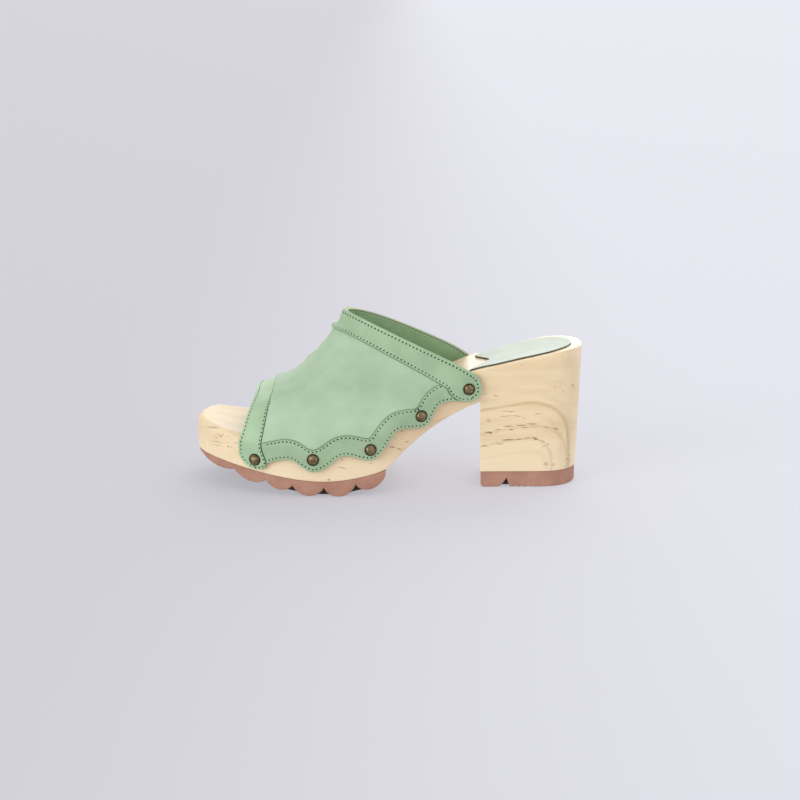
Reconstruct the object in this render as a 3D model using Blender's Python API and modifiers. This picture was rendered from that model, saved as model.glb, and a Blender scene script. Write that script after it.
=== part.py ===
"""Left clog mule: carved wooden sole with rubber treads and a leather upper open at toe, collar and underneath.

Sizes are millimetres. x runs from the toe tip to the heel, y from the outer side (minus) to the inner side
(plus) and z up from the floor. Meshes are made in metres with the middle of the shoe's box over the origin.
"""
import math

import bpy
import numpy as np
from mathutils import Vector

OBJECT_NAME = "leather_mule"
MM = 0.001
CENTRE_X = 117.5
CENTRE_Y = -2.0
LATERAL = -1
MEDIAL = 1
GAP = 0.3

# Wooden sole
TOE_X = -0.9
HEEL_X = 235.8
TIP_Y = 8.0
TOE_ROUND = {LATERAL: 75.0, MEDIAL: 13.0}
HEEL_ROUND = 30.0
HEEL_ROUND_POWER = 2.2
EDGE_ROLL = 3.0
FOOTBED_CUP = 1.2
HEEL_DRAFT = 0.062
DRAFT_FROM_X = 110.0
DRAFT_FULL_X = 170.0
HEEL_WOOD_Z = 9.7
BREAST_X = 172.6
BREAST_SKEW = 4.0
ARCH_START = (112.0, 11.9)
ARCH_END_Z = 53.8
ARCH_RISE = 5.0

# Rubber treads
OUTSOLE_FRONT_X = 0.6
OUTSOLE_REAR_X = 115.6
TREAD_ROLL = 1.2
LIFT_CORNER = 2.4
LIFT_NOTCH_X = 188.8
LIFT_NOTCH_Z = 5.6
LIFT_NOTCH_FRONT = 5.5
LIFT_NOTCH_REAR = 2.4

# Leather
VAMP_WALL = 1.6
OVERLAY_LIFT = VAMP_WALL + 0.45
OVERLAY_WALL = 1.3
BASE_DROP = 2.0
RIDGE_Y = 2.0
UPPER_FRONT_X = 29.0
UPPER_REAR_X = 168.6
TOE_BAND_REAR_X = 42.3
COLLAR_BAND_FRONT_X = 152.5
COLLAR_BAND_REAR_X = 171.0
COLLAR_RIDGE_EXTRA = 5.2
END_ANGLE = 0.14
SOCK_WALL = 1.0
SOCK_LIFT = 0.6
SOCK_MARGIN = 7.2
SOCK_FRONT_X = 166.5
SOCK_NOTCH_DEPTH = 12.6

# Studs
STUD_RADIUS = 3.65
STUD_HEIGHT = 2.2

# Plan edges of the wood before the ends are rounded: x, outer y, inner y
PLAN = (
    (-0.9, -46.0, 36.0),
    (12, -46.4, 37.0),
    (25, -46.7, 39.5),
    (45, -47.1, 42.5),
    (62, -47.5, 44.0),
    (78, -47.8, 43.5),
    (95, -46.8, 41.0),
    (115, -43.0, 36.0),
    (135, -36.8, 31.0),
    (150, -32.8, 28.5),
    (166, -30.0, 27.5),
    (185, -29.5, 28.5),
    (HEEL_X, -29.5, 29.5),
)

# Footbed at its edge: x, z
FOOTBED = (
    (-0.9, 39.0),
    (10, 37.9),
    (20, 36.3),
    (30, 34.7),
    (45, 33.2),
    (60, 32.5),
    (75, 32.4),
    (90, 33.6),
    (104, 37.2),
    (120, 45.8),
    (136, 56.0),
    (150, 64.4),
    (166, 72.0),
    (184, 76.4),
    (207, 81.6),
    (221, 84.0),
    (HEEL_X, 85.7),
)

# Underside of the wood before the arch is cut: x, z
UNDERSIDE = (
    (-0.9, 19.5),
    (12, 18.3),
    (28, 15.8),
    (49, 12.2),
    (64, 10.2),
    (80, 9.3),
    (94, 10.4),
    (106, 12.6),
    (116, 15.0),
    (130, 13.0),
    (150, 10.0),
    (165, HEEL_WOOD_Z),
    (HEEL_X, HEEL_WOOD_Z),
)

# Forefoot lugs: x and z of the notch in front, drop of the lug below the line to the next notch
LUGS = (
    (OUTSOLE_FRONT_X, 18.2, 3.8),
    (23.6, 13.7, 3.9),
    (43.4, 9.3, 3.9),
    (59.6, 6.4, 5.4),
    (78.7, 5.4, 6.6),
    (97.7, 6.9, 5.4),
    (OUTSOLE_REAR_X, 10.5, 0.0),
)

# Fan of sections through the upper: x at the footbed edge, x and z at the ridge, peak of the section
FAN = (
    (29, 40.3, 57.4, 0.85),
    (42, 48.6, 60.9, 0.87),
    (60, 56.0, 64.4, 0.91),
    (92, 67.5, 72.8, 1.02),
    (130, 80.5, 87.2, 1.20),
    (171, 94.6, 103.9, 1.38),
)

# Foot of the vamp behind the rand and the bands: x, z
VAMP_FOOT = (
    (29, 27.5),
    (33, 23.5),
    (44, 24.0),
    (57, 26.5),
    (72, 22.5),
    (90, 28.0),
    (106, 29.0),
    (118, 38.5),
    (126, 43.5),
    (137, 47.0),
    (146, 54.5),
    (156, 59.5),
    (164, 60.5),
    (168.6, 63.5),
)

# Rand seen from the side: lower x, lower z, upper x, upper z
RAND = (
    (45.9, 20.4, 43.7, 33.2),
    (50, 22.0, 49, 34.7),
    (57, 23.4, 56, 36.1),
    (61, 22.6, 62, 35.6),
    (66, 19.2, 67, 33.2),
    (70.6, 16.5, 70, 31.0),
    (73.5, 16.2, 73, 30.4),
    (78, 17.7, 77, 32.2),
    (83, 21.3, 82, 35.6),
    (87, 24.7, 87, 37.8),
    (91, 26.0, 92.5, 38.4),
    (95, 25.5, 98, 37.7),
    (100, 23.8, 102.5, 36.8),
    (105, 22.8, 105.5, 36.8),
    (109, 23.0, 107.5, 39.2),
    (112.5, 25.7, 110, 42.6),
    (117, 31.4, 114, 47.0),
    (120.4, 37.0, 119, 50.2),
    (123.5, 39.5, 126, 51.8),
    (129, 40.2, 131.5, 52.3),
    (136, 40.1, 133.7, 53.6),
    (140, 41.6, 135.5, 56.6),
    (143, 45.2, 138, 60.0),
    (146, 51.0, 141, 62.7),
    (150, 54.4, 143.5, 64.3),
    (159.0, 55.6, 147.0, 65.6),
)

# Rounded ends of the bands: drop below the base line, front x, rear x
TOE_BAND_END = (
    (0, 29.0, 42.3),
    (4, 28.8, 43.0),
    (7, 28.9, 44.1),
    (9.5, 29.4, 45.0),
    (12, 30.9, 45.2),
    (14, 33.2, 43.6),
    (15.4, 36.2, 40.4),
)
COLLAR_BAND_END = (
    (0, 153.0, 169.3),
    (3, 154.2, 171.4),
    (6, 155.8, 172.4),
    (9, 158.0, 172.8),
    (11.5, 160.2, 172.6),
    (13.3, 162.2, 171.6),
    (14.6, 165.2, 169.2),
)

# Studs seen from the side, toe to heel: x, z
STUDS = ((38.6, 22.1), (72.5, 23.9), (106.4, 29.3), (136.4, 47.9), (164.7, 62.9))


def column(table, index):
    """One column of a table as an array of floats."""
    return np.array([row[index] for row in table], dtype=float)


def smooth(table, index=1):
    """Smooth curve through one column of a table against its first column."""
    knots = column(table, 0)
    values = column(table, index)
    slopes = np.gradient(values, knots)

    def at(x):
        x = np.asarray(x, dtype=float)
        i = np.clip(np.searchsorted(knots, x) - 1, 0, len(knots) - 2)
        span = knots[i + 1] - knots[i]
        t = np.clip((x - knots[i]) / span, 0.0, 1.0)
        start = (1 + 2 * t) * (1 - t) ** 2 * values[i] + t * (1 - t) ** 2 * span * slopes[i]
        end = t * t * (3 - 2 * t) * values[i + 1] + t * t * (t - 1) * span * slopes[i + 1]
        return start + end

    return at


plan_edge = {LATERAL: smooth(PLAN, 1), MEDIAL: smooth(PLAN, 2)}
footbed_z = smooth(FOOTBED)
underside_z = smooth(UNDERSIDE)
ridge_x = smooth(FAN, 1)
ridge_z = smooth(FAN, 2)
section_peak = smooth(FAN, 3)
vamp_foot_z = smooth(VAMP_FOOT)


def end_round(share, power):
    """Rounding of an end of the plan, from 0 at the tip to 1 where the rounding stops."""
    return (1 - np.clip(1 - share, 0.0, 1.0) ** power) ** (1 / power)


def edge_y(x, side):
    """Edge of the wood at the footbed, with toe and heel rounded."""
    x = np.asarray(x, dtype=float)
    toe = TIP_Y + (plan_edge[side](x) - TIP_Y) * end_round((x - TOE_X) / TOE_ROUND[side], 2.0)
    return toe * end_round((HEEL_X - x) / HEEL_ROUND, HEEL_ROUND_POWER)


def draft(x):
    """Inward slope of the side wall, none at the forefoot and full at the heel."""
    share = (np.asarray(x, dtype=float) - DRAFT_FROM_X) / (DRAFT_FULL_X - DRAFT_FROM_X)
    return HEEL_DRAFT * np.clip(share, 0.0, 1.0)


def base_z(x):
    """Line on the side of the wood where the upper leaves it."""
    return footbed_z(x) - BASE_DROP


def section_point(base_x, angle, side):
    """Inner face of the upper on one section of the fan, angle 0 at the base and a right angle at the ridge."""
    rise = math.sin(angle) ** float(section_peak(base_x))
    foot_y = float(edge_y(base_x, side)) + side * GAP
    foot_z = float(base_z(base_x))
    return (
        base_x + (float(ridge_x(base_x)) - base_x) * rise,
        RIDGE_Y + (foot_y - RIDGE_Y) * math.cos(angle),
        foot_z + (float(ridge_z(base_x)) - foot_z) * rise,
    )


def side_point(x, z, side):
    """Inner face of the upper at a place seen from the side."""
    if z <= base_z(x):
        inset = float(draft(x) * (footbed_z(x) - z))
        return (x, float(edge_y(x, side)) + side * (GAP - inset), z)
    low, high = x - 20.0, x + 40.0
    for _ in range(40):
        base_x = (low + high) / 2
        foot_z = float(base_z(base_x))
        rise = min(1.0, max(0.0, (z - foot_z) / (float(ridge_z(base_x)) - foot_z)))
        if base_x + (float(ridge_x(base_x)) - base_x) * rise < x:
            low = base_x
        else:
            high = base_x
    angle = math.asin(rise ** (1 / float(section_peak(base_x))))
    return section_point(base_x, angle, side)


def make_finish(name, colour, roughness, metallic=0.0):
    """Plain material with one colour."""
    finish = bpy.data.materials.new(name)
    finish.use_nodes = True
    shader = finish.node_tree.nodes["Principled BSDF"]
    shader.inputs["Base Color"].default_value = (*colour, 1.0)
    shader.inputs["Roughness"].default_value = roughness
    shader.inputs["Metallic"].default_value = metallic
    finish.diffuse_color = (*colour, 1.0)
    return finish


def make_object(name, points, faces, finish, collection):
    """Object from points in millimetres."""
    shift = np.array((CENTRE_X, CENTRE_Y, 0.0))
    mesh = bpy.data.meshes.new(name)
    mesh.from_pydata(((np.array(points, dtype=float) - shift) * MM).tolist(), [], faces)
    mesh.update()
    obj = bpy.data.objects.new(name, mesh)
    collection.objects.link(obj)
    if finish is not None:
        mesh.materials.append(finish)
    return obj


def plan_normals(stations):
    """Plan points on both sides and their outward directions, read from one fine outline."""
    fine = spread(TOE_X, HEEL_X, 601)
    outer = np.stack((fine, edge_y(fine, LATERAL)), axis=1)
    inner = np.stack((fine, edge_y(fine, MEDIAL)), axis=1)[::-1]
    loop = np.concatenate((outer, inner))
    along = np.roll(loop, -1, axis=0) - np.roll(loop, 1, axis=0)
    outward = np.stack((along[:, 1], -along[:, 0]), axis=1)
    halves = {LATERAL: outward[:601], MEDIAL: outward[601:][::-1]}
    points = {}
    normals = {}
    for side, half in halves.items():
        points[side] = np.stack((stations, edge_y(stations, side)), axis=1)
        found = np.stack([np.interp(stations, fine, half[:, axis]) for axis in (0, 1)], axis=1)
        normals[side] = found / np.linalg.norm(found, axis=1, keepdims=True)
    return points, normals


def loft(name, stations, levels, finish, collection, cup=0.0):
    """Solid along the stations; levels gives inset and height from the top edge down to the bottom edge."""
    points, normals = plan_normals(stations)
    across = (0.2, 0.4, 0.6, 0.8) if cup else ()
    rows = len(levels)
    size = 2 * rows + len(across)
    vertices = []
    for i, x in enumerate(stations):
        sides = {}
        for side in (LATERAL, MEDIAL):
            sides[side] = []
            for inset, height in levels:
                place = points[side][i] - normals[side][i] * inset(x)
                sides[side].append((place[0], place[1], float(height(x))))
        outer_top = np.array(sides[LATERAL][0])
        inner_top = np.array(sides[MEDIAL][0])
        hollow = cup * min(1.0, (x - TOE_X) / 30.0, (HEEL_X - x) / 20.0)
        vertices += sides[LATERAL] + sides[MEDIAL][::-1]
        for share in across:
            middle = inner_top + (outer_top - inner_top) * share
            middle[2] -= hollow * (1 - (2 * share - 1) ** 2)
            vertices.append(tuple(middle))
    faces = []
    for i in range(len(stations) - 1):
        for j in range(size):
            k = (j + 1) % size
            faces.append((i * size + j, i * size + k, (i + 1) * size + k, (i + 1) * size + j))
    last = (len(stations) - 1) * size
    for j in range(rows - 1):
        middle = list(range(2 * rows, size)) if j == 0 else []
        cap = [j, 2 * rows - 1 - j] if not middle else [j] + middle[::-1] + [2 * rows - 1 - j]
        cap += [2 * rows - 2 - j, j + 1]
        faces.append(tuple(cap))
        faces.append(tuple(last + index for index in reversed(cap)))
    return make_object(name, vertices, faces, finish, collection)


def shell(name, grid, lift, wall, finish, collection):
    """Leather of even wall standing off the grid of points by the lift."""
    grid = np.array(grid, dtype=float)
    rows, columns = grid.shape[:2]
    faces = []
    for i in range(rows - 1):
        for j in range(columns - 1):
            k = i * columns + j
            faces.append((k, k + columns, k + columns + 1, k + 1))
    obj = make_object(name, grid.reshape(-1, 3), faces, finish, collection)
    if lift:
        off = obj.modifiers.new("stand off", "DISPLACE")
        off.direction = "NORMAL"
        off.mid_level = 0.0
        off.strength = lift * MM
    body = obj.modifiers.new("wall", "SOLIDIFY")
    body.thickness = wall * MM
    body.offset = 1.0
    body.use_even_offset = True
    return obj


def spread(start, end, count):
    """Places from start to end drawn together at both ends."""
    turn = np.linspace(0.0, math.pi, count)
    return start + (end - start) * (1 - np.cos(turn)) / 2


def build_wood(finish, collection, cutters):
    """Wooden sole: one lofted block with the arch cut away in front of the heel."""
    front = spread(TOE_X + 0.1, 26.0, 11)[:7]
    middle = np.linspace(20.5, 216.0, 34)
    back = spread(208.0, HEEL_X - 0.1, 15)[6:]
    stations = np.concatenate((front, middle, back))
    roll = EDGE_ROLL
    levels = (
        (lambda x: roll, footbed_z),
        (lambda x: 0.3 * roll, lambda x: footbed_z(x) - 0.3 * roll),
        (lambda x: draft(x) * roll, lambda x: footbed_z(x) - roll),
        (lambda x: draft(x) * (footbed_z(x) - underside_z(x)), underside_z),
    )
    wood = loft("wood_sole", stations, levels, finish, collection, FOOTBED_CUP)

    start = np.array(ARCH_START)
    end = np.array((BREAST_X, ARCH_END_Z))
    chord = end - start
    rise = np.array((-chord[1], chord[0])) / np.linalg.norm(chord) * ARCH_RISE
    shares = np.linspace(0.0, 1.0, 15)
    profile = [tuple(start + chord * s + rise * 4 * s * (1 - s)) for s in shares]
    profile += [(BREAST_X, -5.0), (ARCH_START[0], -5.0)]
    near = [(x - BREAST_SKEW / 2 * (x - ARCH_START[0]) / chord[0], -60.0, z) for x, z in profile]
    far = [(x + BREAST_SKEW / 2 * (x - ARCH_START[0]) / chord[0], 60.0, z) for x, z in profile]
    count = len(profile)
    faces = [tuple(reversed(range(count))), tuple(range(count, 2 * count))]
    for i in range(count):
        k = (i + 1) % count
        faces.append((i, k, count + k, count + i))
    cutter = make_object("arch_cutter", near + far, faces, None, cutters)
    cutter.hide_render = True
    cutter.display_type = "WIRE"
    cut = wood.modifiers.new("arch", "BOOLEAN")
    cut.operation = "DIFFERENCE"
    cut.solver = "EXACT"
    cut.object = cutter


def lug_z(x):
    """Underside of the forefoot lugs: an arc from notch to notch, flat where it would pass the floor."""
    notch = column(LUGS, 0)
    i = int(np.clip(np.searchsorted(notch, x) - 1, 0, len(LUGS) - 2))
    share = float(np.clip((x - notch[i]) / (notch[i + 1] - notch[i]), 0.0, 1.0))
    line = LUGS[i][1] + (LUGS[i + 1][1] - LUGS[i][1]) * share
    half = (notch[i + 1] - notch[i]) / 2
    drop = LUGS[i][2]
    radius = (half * half + drop * drop) / (2 * drop)
    offset = (share - 0.5) * 2 * half
    return max(line - (math.sqrt(radius * radius - offset * offset) - radius + drop), 0.0)


def build_outsole(finish, collection):
    """Rubber forefoot tread in rounded lugs, flush with the wood above it."""
    stations = []
    for row, following in zip(LUGS, LUGS[1:]):
        stations += list(np.linspace(row[0], following[0], 8)[:-1])
    stations = np.array([OUTSOLE_FRONT_X, 1.8] + stations[1:] + [OUTSOLE_REAR_X])
    levels = (
        (lambda x: 0.2, lambda x: underside_z(x) - GAP),
        (lambda x: 0.2, lambda x: lug_z(x) + 0.35 * (underside_z(x) - GAP - lug_z(x))),
        (lambda x: 0.2 + TREAD_ROLL, lug_z),
    )
    loft("forefoot_outsole", stations, levels, finish, collection)


def lift_z(x):
    """Underside of the heel lift: flat, with a rounded front corner and one cusped notch."""
    front = BREAST_X + 1.0
    corner = max(0.0, 1 - (x - front) / LIFT_CORNER)
    z = LIFT_CORNER * (1 - math.sqrt(max(0.0, 1 - corner * corner)))
    width = LIFT_NOTCH_FRONT if x < LIFT_NOTCH_X else LIFT_NOTCH_REAR
    share = max(0.0, 1 - abs(x - LIFT_NOTCH_X) / width)
    return max(z, LIFT_NOTCH_Z * share ** 1.6)


def build_lift(finish, collection):
    """Rubber heel lift under the wooden heel."""
    front = BREAST_X + 1.0
    top = HEEL_WOOD_Z - GAP
    stations = np.concatenate((
        (front, front + 0.6, front + 1.4, front + LIFT_CORNER, 178.0),
        LIFT_NOTCH_X - LIFT_NOTCH_FRONT * np.linspace(1.0, 0.0, 6),
        LIFT_NOTCH_X + LIFT_NOTCH_REAR * np.linspace(0.34, 1.0, 3),
        np.linspace(197.0, 216.0, 4),
        spread(208.0, HEEL_X - 0.1, 15)[6:],
    ))
    levels = (
        (lambda x: draft(x) * (footbed_z(x) - top), lambda x: top),
        (lambda x: draft(x) * (footbed_z(x) - 2.0), lambda x: max(2.0, lift_z(x) + 1.0)),
        (lambda x: draft(x) * footbed_z(x) + TREAD_ROLL, lift_z),
    )
    loft("heel_lift", stations, levels, finish, collection)


def footbed_height(x, y):
    """Cupped top of the wood."""
    outer = float(edge_y(x, LATERAL)) + EDGE_ROLL
    inner = float(edge_y(x, MEDIAL)) - EDGE_ROLL
    across = (2 * y - outer - inner) / (inner - outer)
    hollow = FOOTBED_CUP * min(1.0, (HEEL_X - x) / 20.0)
    return float(footbed_z(x)) - hollow * (1 - min(1.0, across * across))


def build_sock(finish, collection):
    """Heel sock on the footbed, swallow-tailed at the front and rounded at the back."""
    back = HEEL_X - SOCK_MARGIN
    half = -float(plan_edge[LATERAL](200.0)) - SOCK_MARGIN
    grid = []
    for share in np.linspace(0.0, 1.0, 11):
        row = []
        for turn in np.linspace(-1.0, 1.0, 13):
            across = math.sin(turn * math.pi / 2)
            reach = HEEL_ROUND * (1 - (1 - abs(across) ** HEEL_ROUND_POWER) ** (1 / HEEL_ROUND_POWER))
            front = SOCK_FRONT_X + SOCK_NOTCH_DEPTH * (1 - abs(across))
            x = front + (back - reach - front) * share
            y = across * half
            row.append((x, y, footbed_height(x, y) + SOCK_LIFT))
        grid.append(row)
    shell("heel_sock", grid, 0.0, SOCK_WALL, finish, collection)


def full_section(base_x, foot_levels, angles):
    """Points of one section from the outer foot over the ridge to the inner foot."""
    sides = {}
    for side in (LATERAL, MEDIAL):
        sides[side] = [side_point(base_x, z, side) for z in foot_levels]
        sides[side] += [section_point(base_x, angle, side) for angle in angles]
    ridge = section_point(base_x, math.pi / 2, LATERAL)
    return sides[LATERAL] + [ridge] + sides[MEDIAL][::-1]


def build_vamp(finish, collection):
    """Hollow vamp, open at toe, collar and underneath."""
    angles = np.linspace(0.0, math.pi / 2, 11)[:-1]
    grid = []
    for base_x in np.linspace(UPPER_FRONT_X, UPPER_REAR_X, 34):
        foot = float(vamp_foot_z(base_x))
        levels = np.linspace(foot, float(base_z(base_x)), 4)[:-1]
        grid.append(full_section(base_x, levels, angles))
    shell("vamp_upper", grid, 0.0, VAMP_WALL, finish, collection)


def build_band(name, front_x, rear_x, ridge_extra, end, finish, collection):
    """Leather band over the vamp from its outer rounded end over the ridge to its inner rounded end."""
    angles = np.linspace(END_ANGLE, math.pi / 2, 11)
    grid = []
    for share in np.linspace(0.0, 1.0, 5):
        sides = {}
        for side in (LATERAL, MEDIAL):
            line = []
            for drop, end_front, end_rear in reversed(end):
                x = end_front + (end_rear - end_front) * share
                line.append(side_point(x, float(base_z(x)) - drop, side))
            for angle in angles:
                front = front_x - ridge_extra * (angle * 2 / math.pi) ** 3
                line.append(section_point(front + (rear_x - front) * share, angle, side))
            sides[side] = line
        grid.append(sides[LATERAL] + sides[MEDIAL][-2::-1])
    shell(name, grid, OVERLAY_LIFT, OVERLAY_WALL, finish, collection)


def build_rand(name, side, finish, collection):
    """Scalloped leather rand joining the studs along one side."""
    grid = []
    for low_x, low_z, top_x, top_z in RAND:
        row = []
        for share in (0.0, 0.3, 0.55, 0.8, 1.0):
            row.append(side_point(low_x + (top_x - low_x) * share, low_z + (top_z - low_z) * share, side))
        grid.append(row if side == LATERAL else row[::-1])
    shell(name, grid, OVERLAY_LIFT, OVERLAY_WALL, finish, collection)


def build_stud(name, x, z, side, finish, collection):
    """Domed stud head standing off the leather."""
    middle = Vector(side_point(x, z, side))
    along = Vector(side_point(x + 1.0, z, side)) - Vector(side_point(x - 1.0, z, side))
    up = Vector(side_point(x, z + 1.0, side)) - Vector(side_point(x, z - 1.0, side))
    out = along.cross(up).normalized() * -side
    along.normalize()
    up = out.cross(along).normalized()
    foot = middle + out * (OVERLAY_LIFT + OVERLAY_WALL + GAP)
    profile = ((1.0, 0.0), (1.0, 0.2), (0.84, 0.62), (0.5, 0.92))
    steps = 14
    points = []
    for radius, height in profile:
        for step in range(steps):
            turn = 2 * math.pi * step / steps
            spoke = along * math.cos(turn) + up * math.sin(turn)
            points.append(tuple(foot + spoke * radius * STUD_RADIUS + out * height * STUD_HEIGHT))
    points.append(tuple(foot + out * STUD_HEIGHT))
    faces = [tuple(reversed(range(steps)))]
    for ring in range(len(profile) - 1):
        for step in range(steps):
            k = ring * steps + step
            n = ring * steps + (step + 1) % steps
            faces.append((k, n, n + steps, k + steps))
    top = (len(profile) - 1) * steps
    for step in range(steps):
        faces.append((top + step, top + (step + 1) % steps, len(points) - 1))
    make_object(name, points, faces, finish, collection)


def main():
    """Build the shoe."""
    for obj in list(bpy.data.objects):
        bpy.data.objects.remove(obj)
    parts = bpy.data.collections.new(OBJECT_NAME)
    cutters = bpy.data.collections.new("cutters")
    bpy.context.scene.collection.children.link(parts)
    bpy.context.scene.collection.children.link(cutters)

    wood = make_finish("pale wood", (0.80, 0.62, 0.43), 0.6)
    rubber = make_finish("salmon rubber", (0.52, 0.26, 0.20), 0.8)
    sock = make_finish("sock leather", (0.66, 0.74, 0.60), 0.7)
    nubuck = make_finish("mint nubuck", (0.42, 0.58, 0.42), 0.9)
    leather = make_finish("green leather", (0.37, 0.52, 0.34), 0.55)
    brass = make_finish("antique brass", (0.30, 0.25, 0.14), 0.35, 1.0)

    build_wood(wood, parts, cutters)
    build_outsole(rubber, parts)
    build_lift(rubber, parts)
    build_sock(sock, parts)
    build_vamp(nubuck, parts)
    build_band("toe_band", UPPER_FRONT_X, TOE_BAND_REAR_X, 0.0, TOE_BAND_END, leather, parts)
    build_band(
        "collar_band", COLLAR_BAND_FRONT_X, COLLAR_BAND_REAR_X, COLLAR_RIDGE_EXTRA, COLLAR_BAND_END, leather, parts
    )
    for side, word in ((LATERAL, "lateral"), (MEDIAL, "medial")):
        build_rand(f"rand_{word}", side, leather, parts)
        for number, (x, z) in enumerate(STUDS, 1):
            build_stud(f"stud_{word}_{number}", x, z, side, brass, parts)


main()
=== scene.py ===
"""Looks of a left clog mule: carved wooden sole, salmon rubber treads and a studded mint leather upper.

Lengths are millimetres in the shoe's own frame: x from the toe tip to the heel, y from the outer side (minus)
to the inner side (plus) and z up from the floor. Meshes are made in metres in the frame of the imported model.
"""
from __future__ import annotations

import logging
import math
from dataclasses import dataclass, field
from enum import Enum, IntEnum
from typing import Any, Mapping, Optional, Sequence, Union

import bmesh
import bpy
import numpy as np
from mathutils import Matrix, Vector
from mathutils.bvhtree import BVHTree


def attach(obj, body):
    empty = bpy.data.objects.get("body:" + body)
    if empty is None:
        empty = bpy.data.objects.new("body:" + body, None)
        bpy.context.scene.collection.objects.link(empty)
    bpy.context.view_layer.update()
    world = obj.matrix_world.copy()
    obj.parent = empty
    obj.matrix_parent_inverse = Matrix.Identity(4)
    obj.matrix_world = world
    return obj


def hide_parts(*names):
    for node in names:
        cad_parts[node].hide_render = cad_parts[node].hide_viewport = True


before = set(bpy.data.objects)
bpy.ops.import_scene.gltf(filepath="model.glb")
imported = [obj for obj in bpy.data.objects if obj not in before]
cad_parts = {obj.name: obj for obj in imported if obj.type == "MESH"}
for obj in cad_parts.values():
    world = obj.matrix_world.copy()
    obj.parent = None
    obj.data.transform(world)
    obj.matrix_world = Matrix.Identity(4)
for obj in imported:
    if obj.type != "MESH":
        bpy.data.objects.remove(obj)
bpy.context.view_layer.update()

Table = Sequence[tuple[float, ...]]
Tone = tuple[int, int, int]
Number = Union[float, np.ndarray]
Size = Union[float, tuple[float, float, float]]
Run = tuple[float, float]
Material = bpy.types.Material
Finishes = Sequence[Material]

MM = 0.001
TINY = 1e-9
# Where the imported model's origin lies in the shoe's own frame
CENTRE = np.array((117.357, -1.951, 0.0))
# Keeps x and z of a point, to measure on a side view
SIDE_VIEW = np.array((1.0, 0.0, 1.0))
BODY = "root"

log = logging.getLogger("mule")


class Side(Enum):
    """Side of the shoe, with the sign of y there."""

    LATERAL = -1
    MEDIAL = 1

    @property
    def word(self) -> str:
        """Plain name of the side."""
        return self.name.lower()


class Slot(Enum):
    """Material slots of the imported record."""

    WOOD = "pale_wood"
    RUBBER = "salmon_rubber"
    SOCK = "sock_leather"
    NUBUCK = "mint_nubuck"
    LEATHER = "green_leather"
    BRASS = "antique_brass"


class Edge(Enum):
    """Long edges of a leather band, with their row of its grid."""

    FRONT = 0
    REAR = -1


class Dye(IntEnum):
    """Finishes of a leather piece, with their places in its list."""

    FACE = 0
    LINING = 1
    # Dark cut edges; on seams and the collar's rim this finish also paints shade
    EDGE = 2
    SOFT = 3
    PALE = 4
    # Seam edges; their lips are partly edge paint and partly painted seam shade
    SEAM = 5


class Curve:
    """Smooth curve through one column of a table against its first column."""

    def __init__(self, table: Table, index: int = 1) -> None:
        """Read the knots.

        Args:
            table: Rows of numbers with rising first column.
            index: Column that the curve follows.
        """
        rows = np.array(table, dtype=float)
        self.knots = rows[:, 0]
        self.values = rows[:, index]
        self.slopes = np.gradient(self.values, self.knots)

    def __call__(self, x: Number) -> np.ndarray:
        """Height of the curve.

        Args:
            x: One place or an array of places; past the ends the last value holds.

        Returns:
            The curve's values in the shape of x.
        """
        x = np.asarray(x, dtype=float)
        i = np.clip(np.searchsorted(self.knots, x) - 1, 0, len(self.knots) - 2)
        span = self.knots[i + 1] - self.knots[i]
        t = np.clip((x - self.knots[i]) / span, 0.0, 1.0)
        start = (1 + 2 * t) * (1 - t) ** 2 * self.values[i] + t * (1 - t) ** 2 * span * self.slopes[i]
        end = t * t * (3 - 2 * t) * self.values[i + 1] + t * t * (t - 1) * span * self.slopes[i + 1]
        return start + end


def ease(share: Number) -> np.ndarray:
    """Smooth step from 0 to 1 over a share from 0 to 1."""
    share = np.clip(share, 0.0, 1.0)
    return share * share * (3 - 2 * share)


def spread(start: float, end: float, count: int) -> np.ndarray:
    """Places from start to end drawn together at both ends."""
    return start + (end - start) * (1 - np.cos(np.linspace(0.0, math.pi, count))) / 2


def quarter(count: int, start: float = 0.0) -> np.ndarray:
    """Even steps of angle from start to a right angle."""
    return np.linspace(start, math.pi / 2, count)


def circle(sides: int) -> np.ndarray:
    """Even steps of angle once round."""
    return np.linspace(0.0, 2 * math.pi, sides, endpoint=False)


def unit(vectors: np.ndarray) -> np.ndarray:
    """Vectors of length one."""
    return vectors / np.maximum(np.linalg.norm(vectors, axis=-1, keepdims=True), TINY)


def distance_to_line(points: np.ndarray, line: np.ndarray) -> np.ndarray:
    """Distance of points to a line.

    Args:
        points: Array of points of any shape, last axis x, y, z.
        line: Points along the line.

    Returns:
        The distance of each point to the nearest piece of the line.
    """
    flat = points.reshape(-1, 3)
    start = line[:-1]
    along = line[1:] - start
    length = np.maximum((along * along).sum(axis=1), TINY)
    nearest = np.empty(len(flat))
    batch = 400
    for k in range(0, len(flat), batch):
        off = flat[k:k + batch, None, :] - start[None]
        share = np.clip((off * along[None]).sum(axis=2) / length, 0.0, 1.0)
        nearest[k:k + batch] = np.linalg.norm(off - share[..., None] * along[None], axis=2).min(axis=1)
    return nearest.reshape(points.shape[:-1])


def inside_outline(points: np.ndarray, outline: np.ndarray) -> np.ndarray:
    """Which points lie inside a closed outline seen from the side.

    Args:
        points: Array of points of any shape, last axis x, y, z.
        outline: Points round the outline.

    Returns:
        True for the points inside.
    """
    x, z = points[..., 0], points[..., 2]
    odd = np.zeros(x.shape, dtype=bool)
    for start, end in zip(outline, np.roll(outline, -1, axis=0)):
        spans = (start[2] > z) != (end[2] > z)
        lean = (end[0] - start[0]) / (end[2] - start[2] + TINY)
        odd ^= spans & (x < start[0] + (z - start[2]) * lean)
    return odd


def join_sides(halves: Mapping[Side, np.ndarray]) -> np.ndarray:
    """Outer half of a grid and inner half, joined at the ridge that both end on."""
    return np.concatenate((halves[Side.LATERAL], halves[Side.MEDIAL][:, -2::-1]), axis=1)


def there_and_back(half: np.ndarray) -> np.ndarray:
    """Values up to the ridge and the same values backwards from it."""
    return np.concatenate((half, half[-2::-1]))


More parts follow.
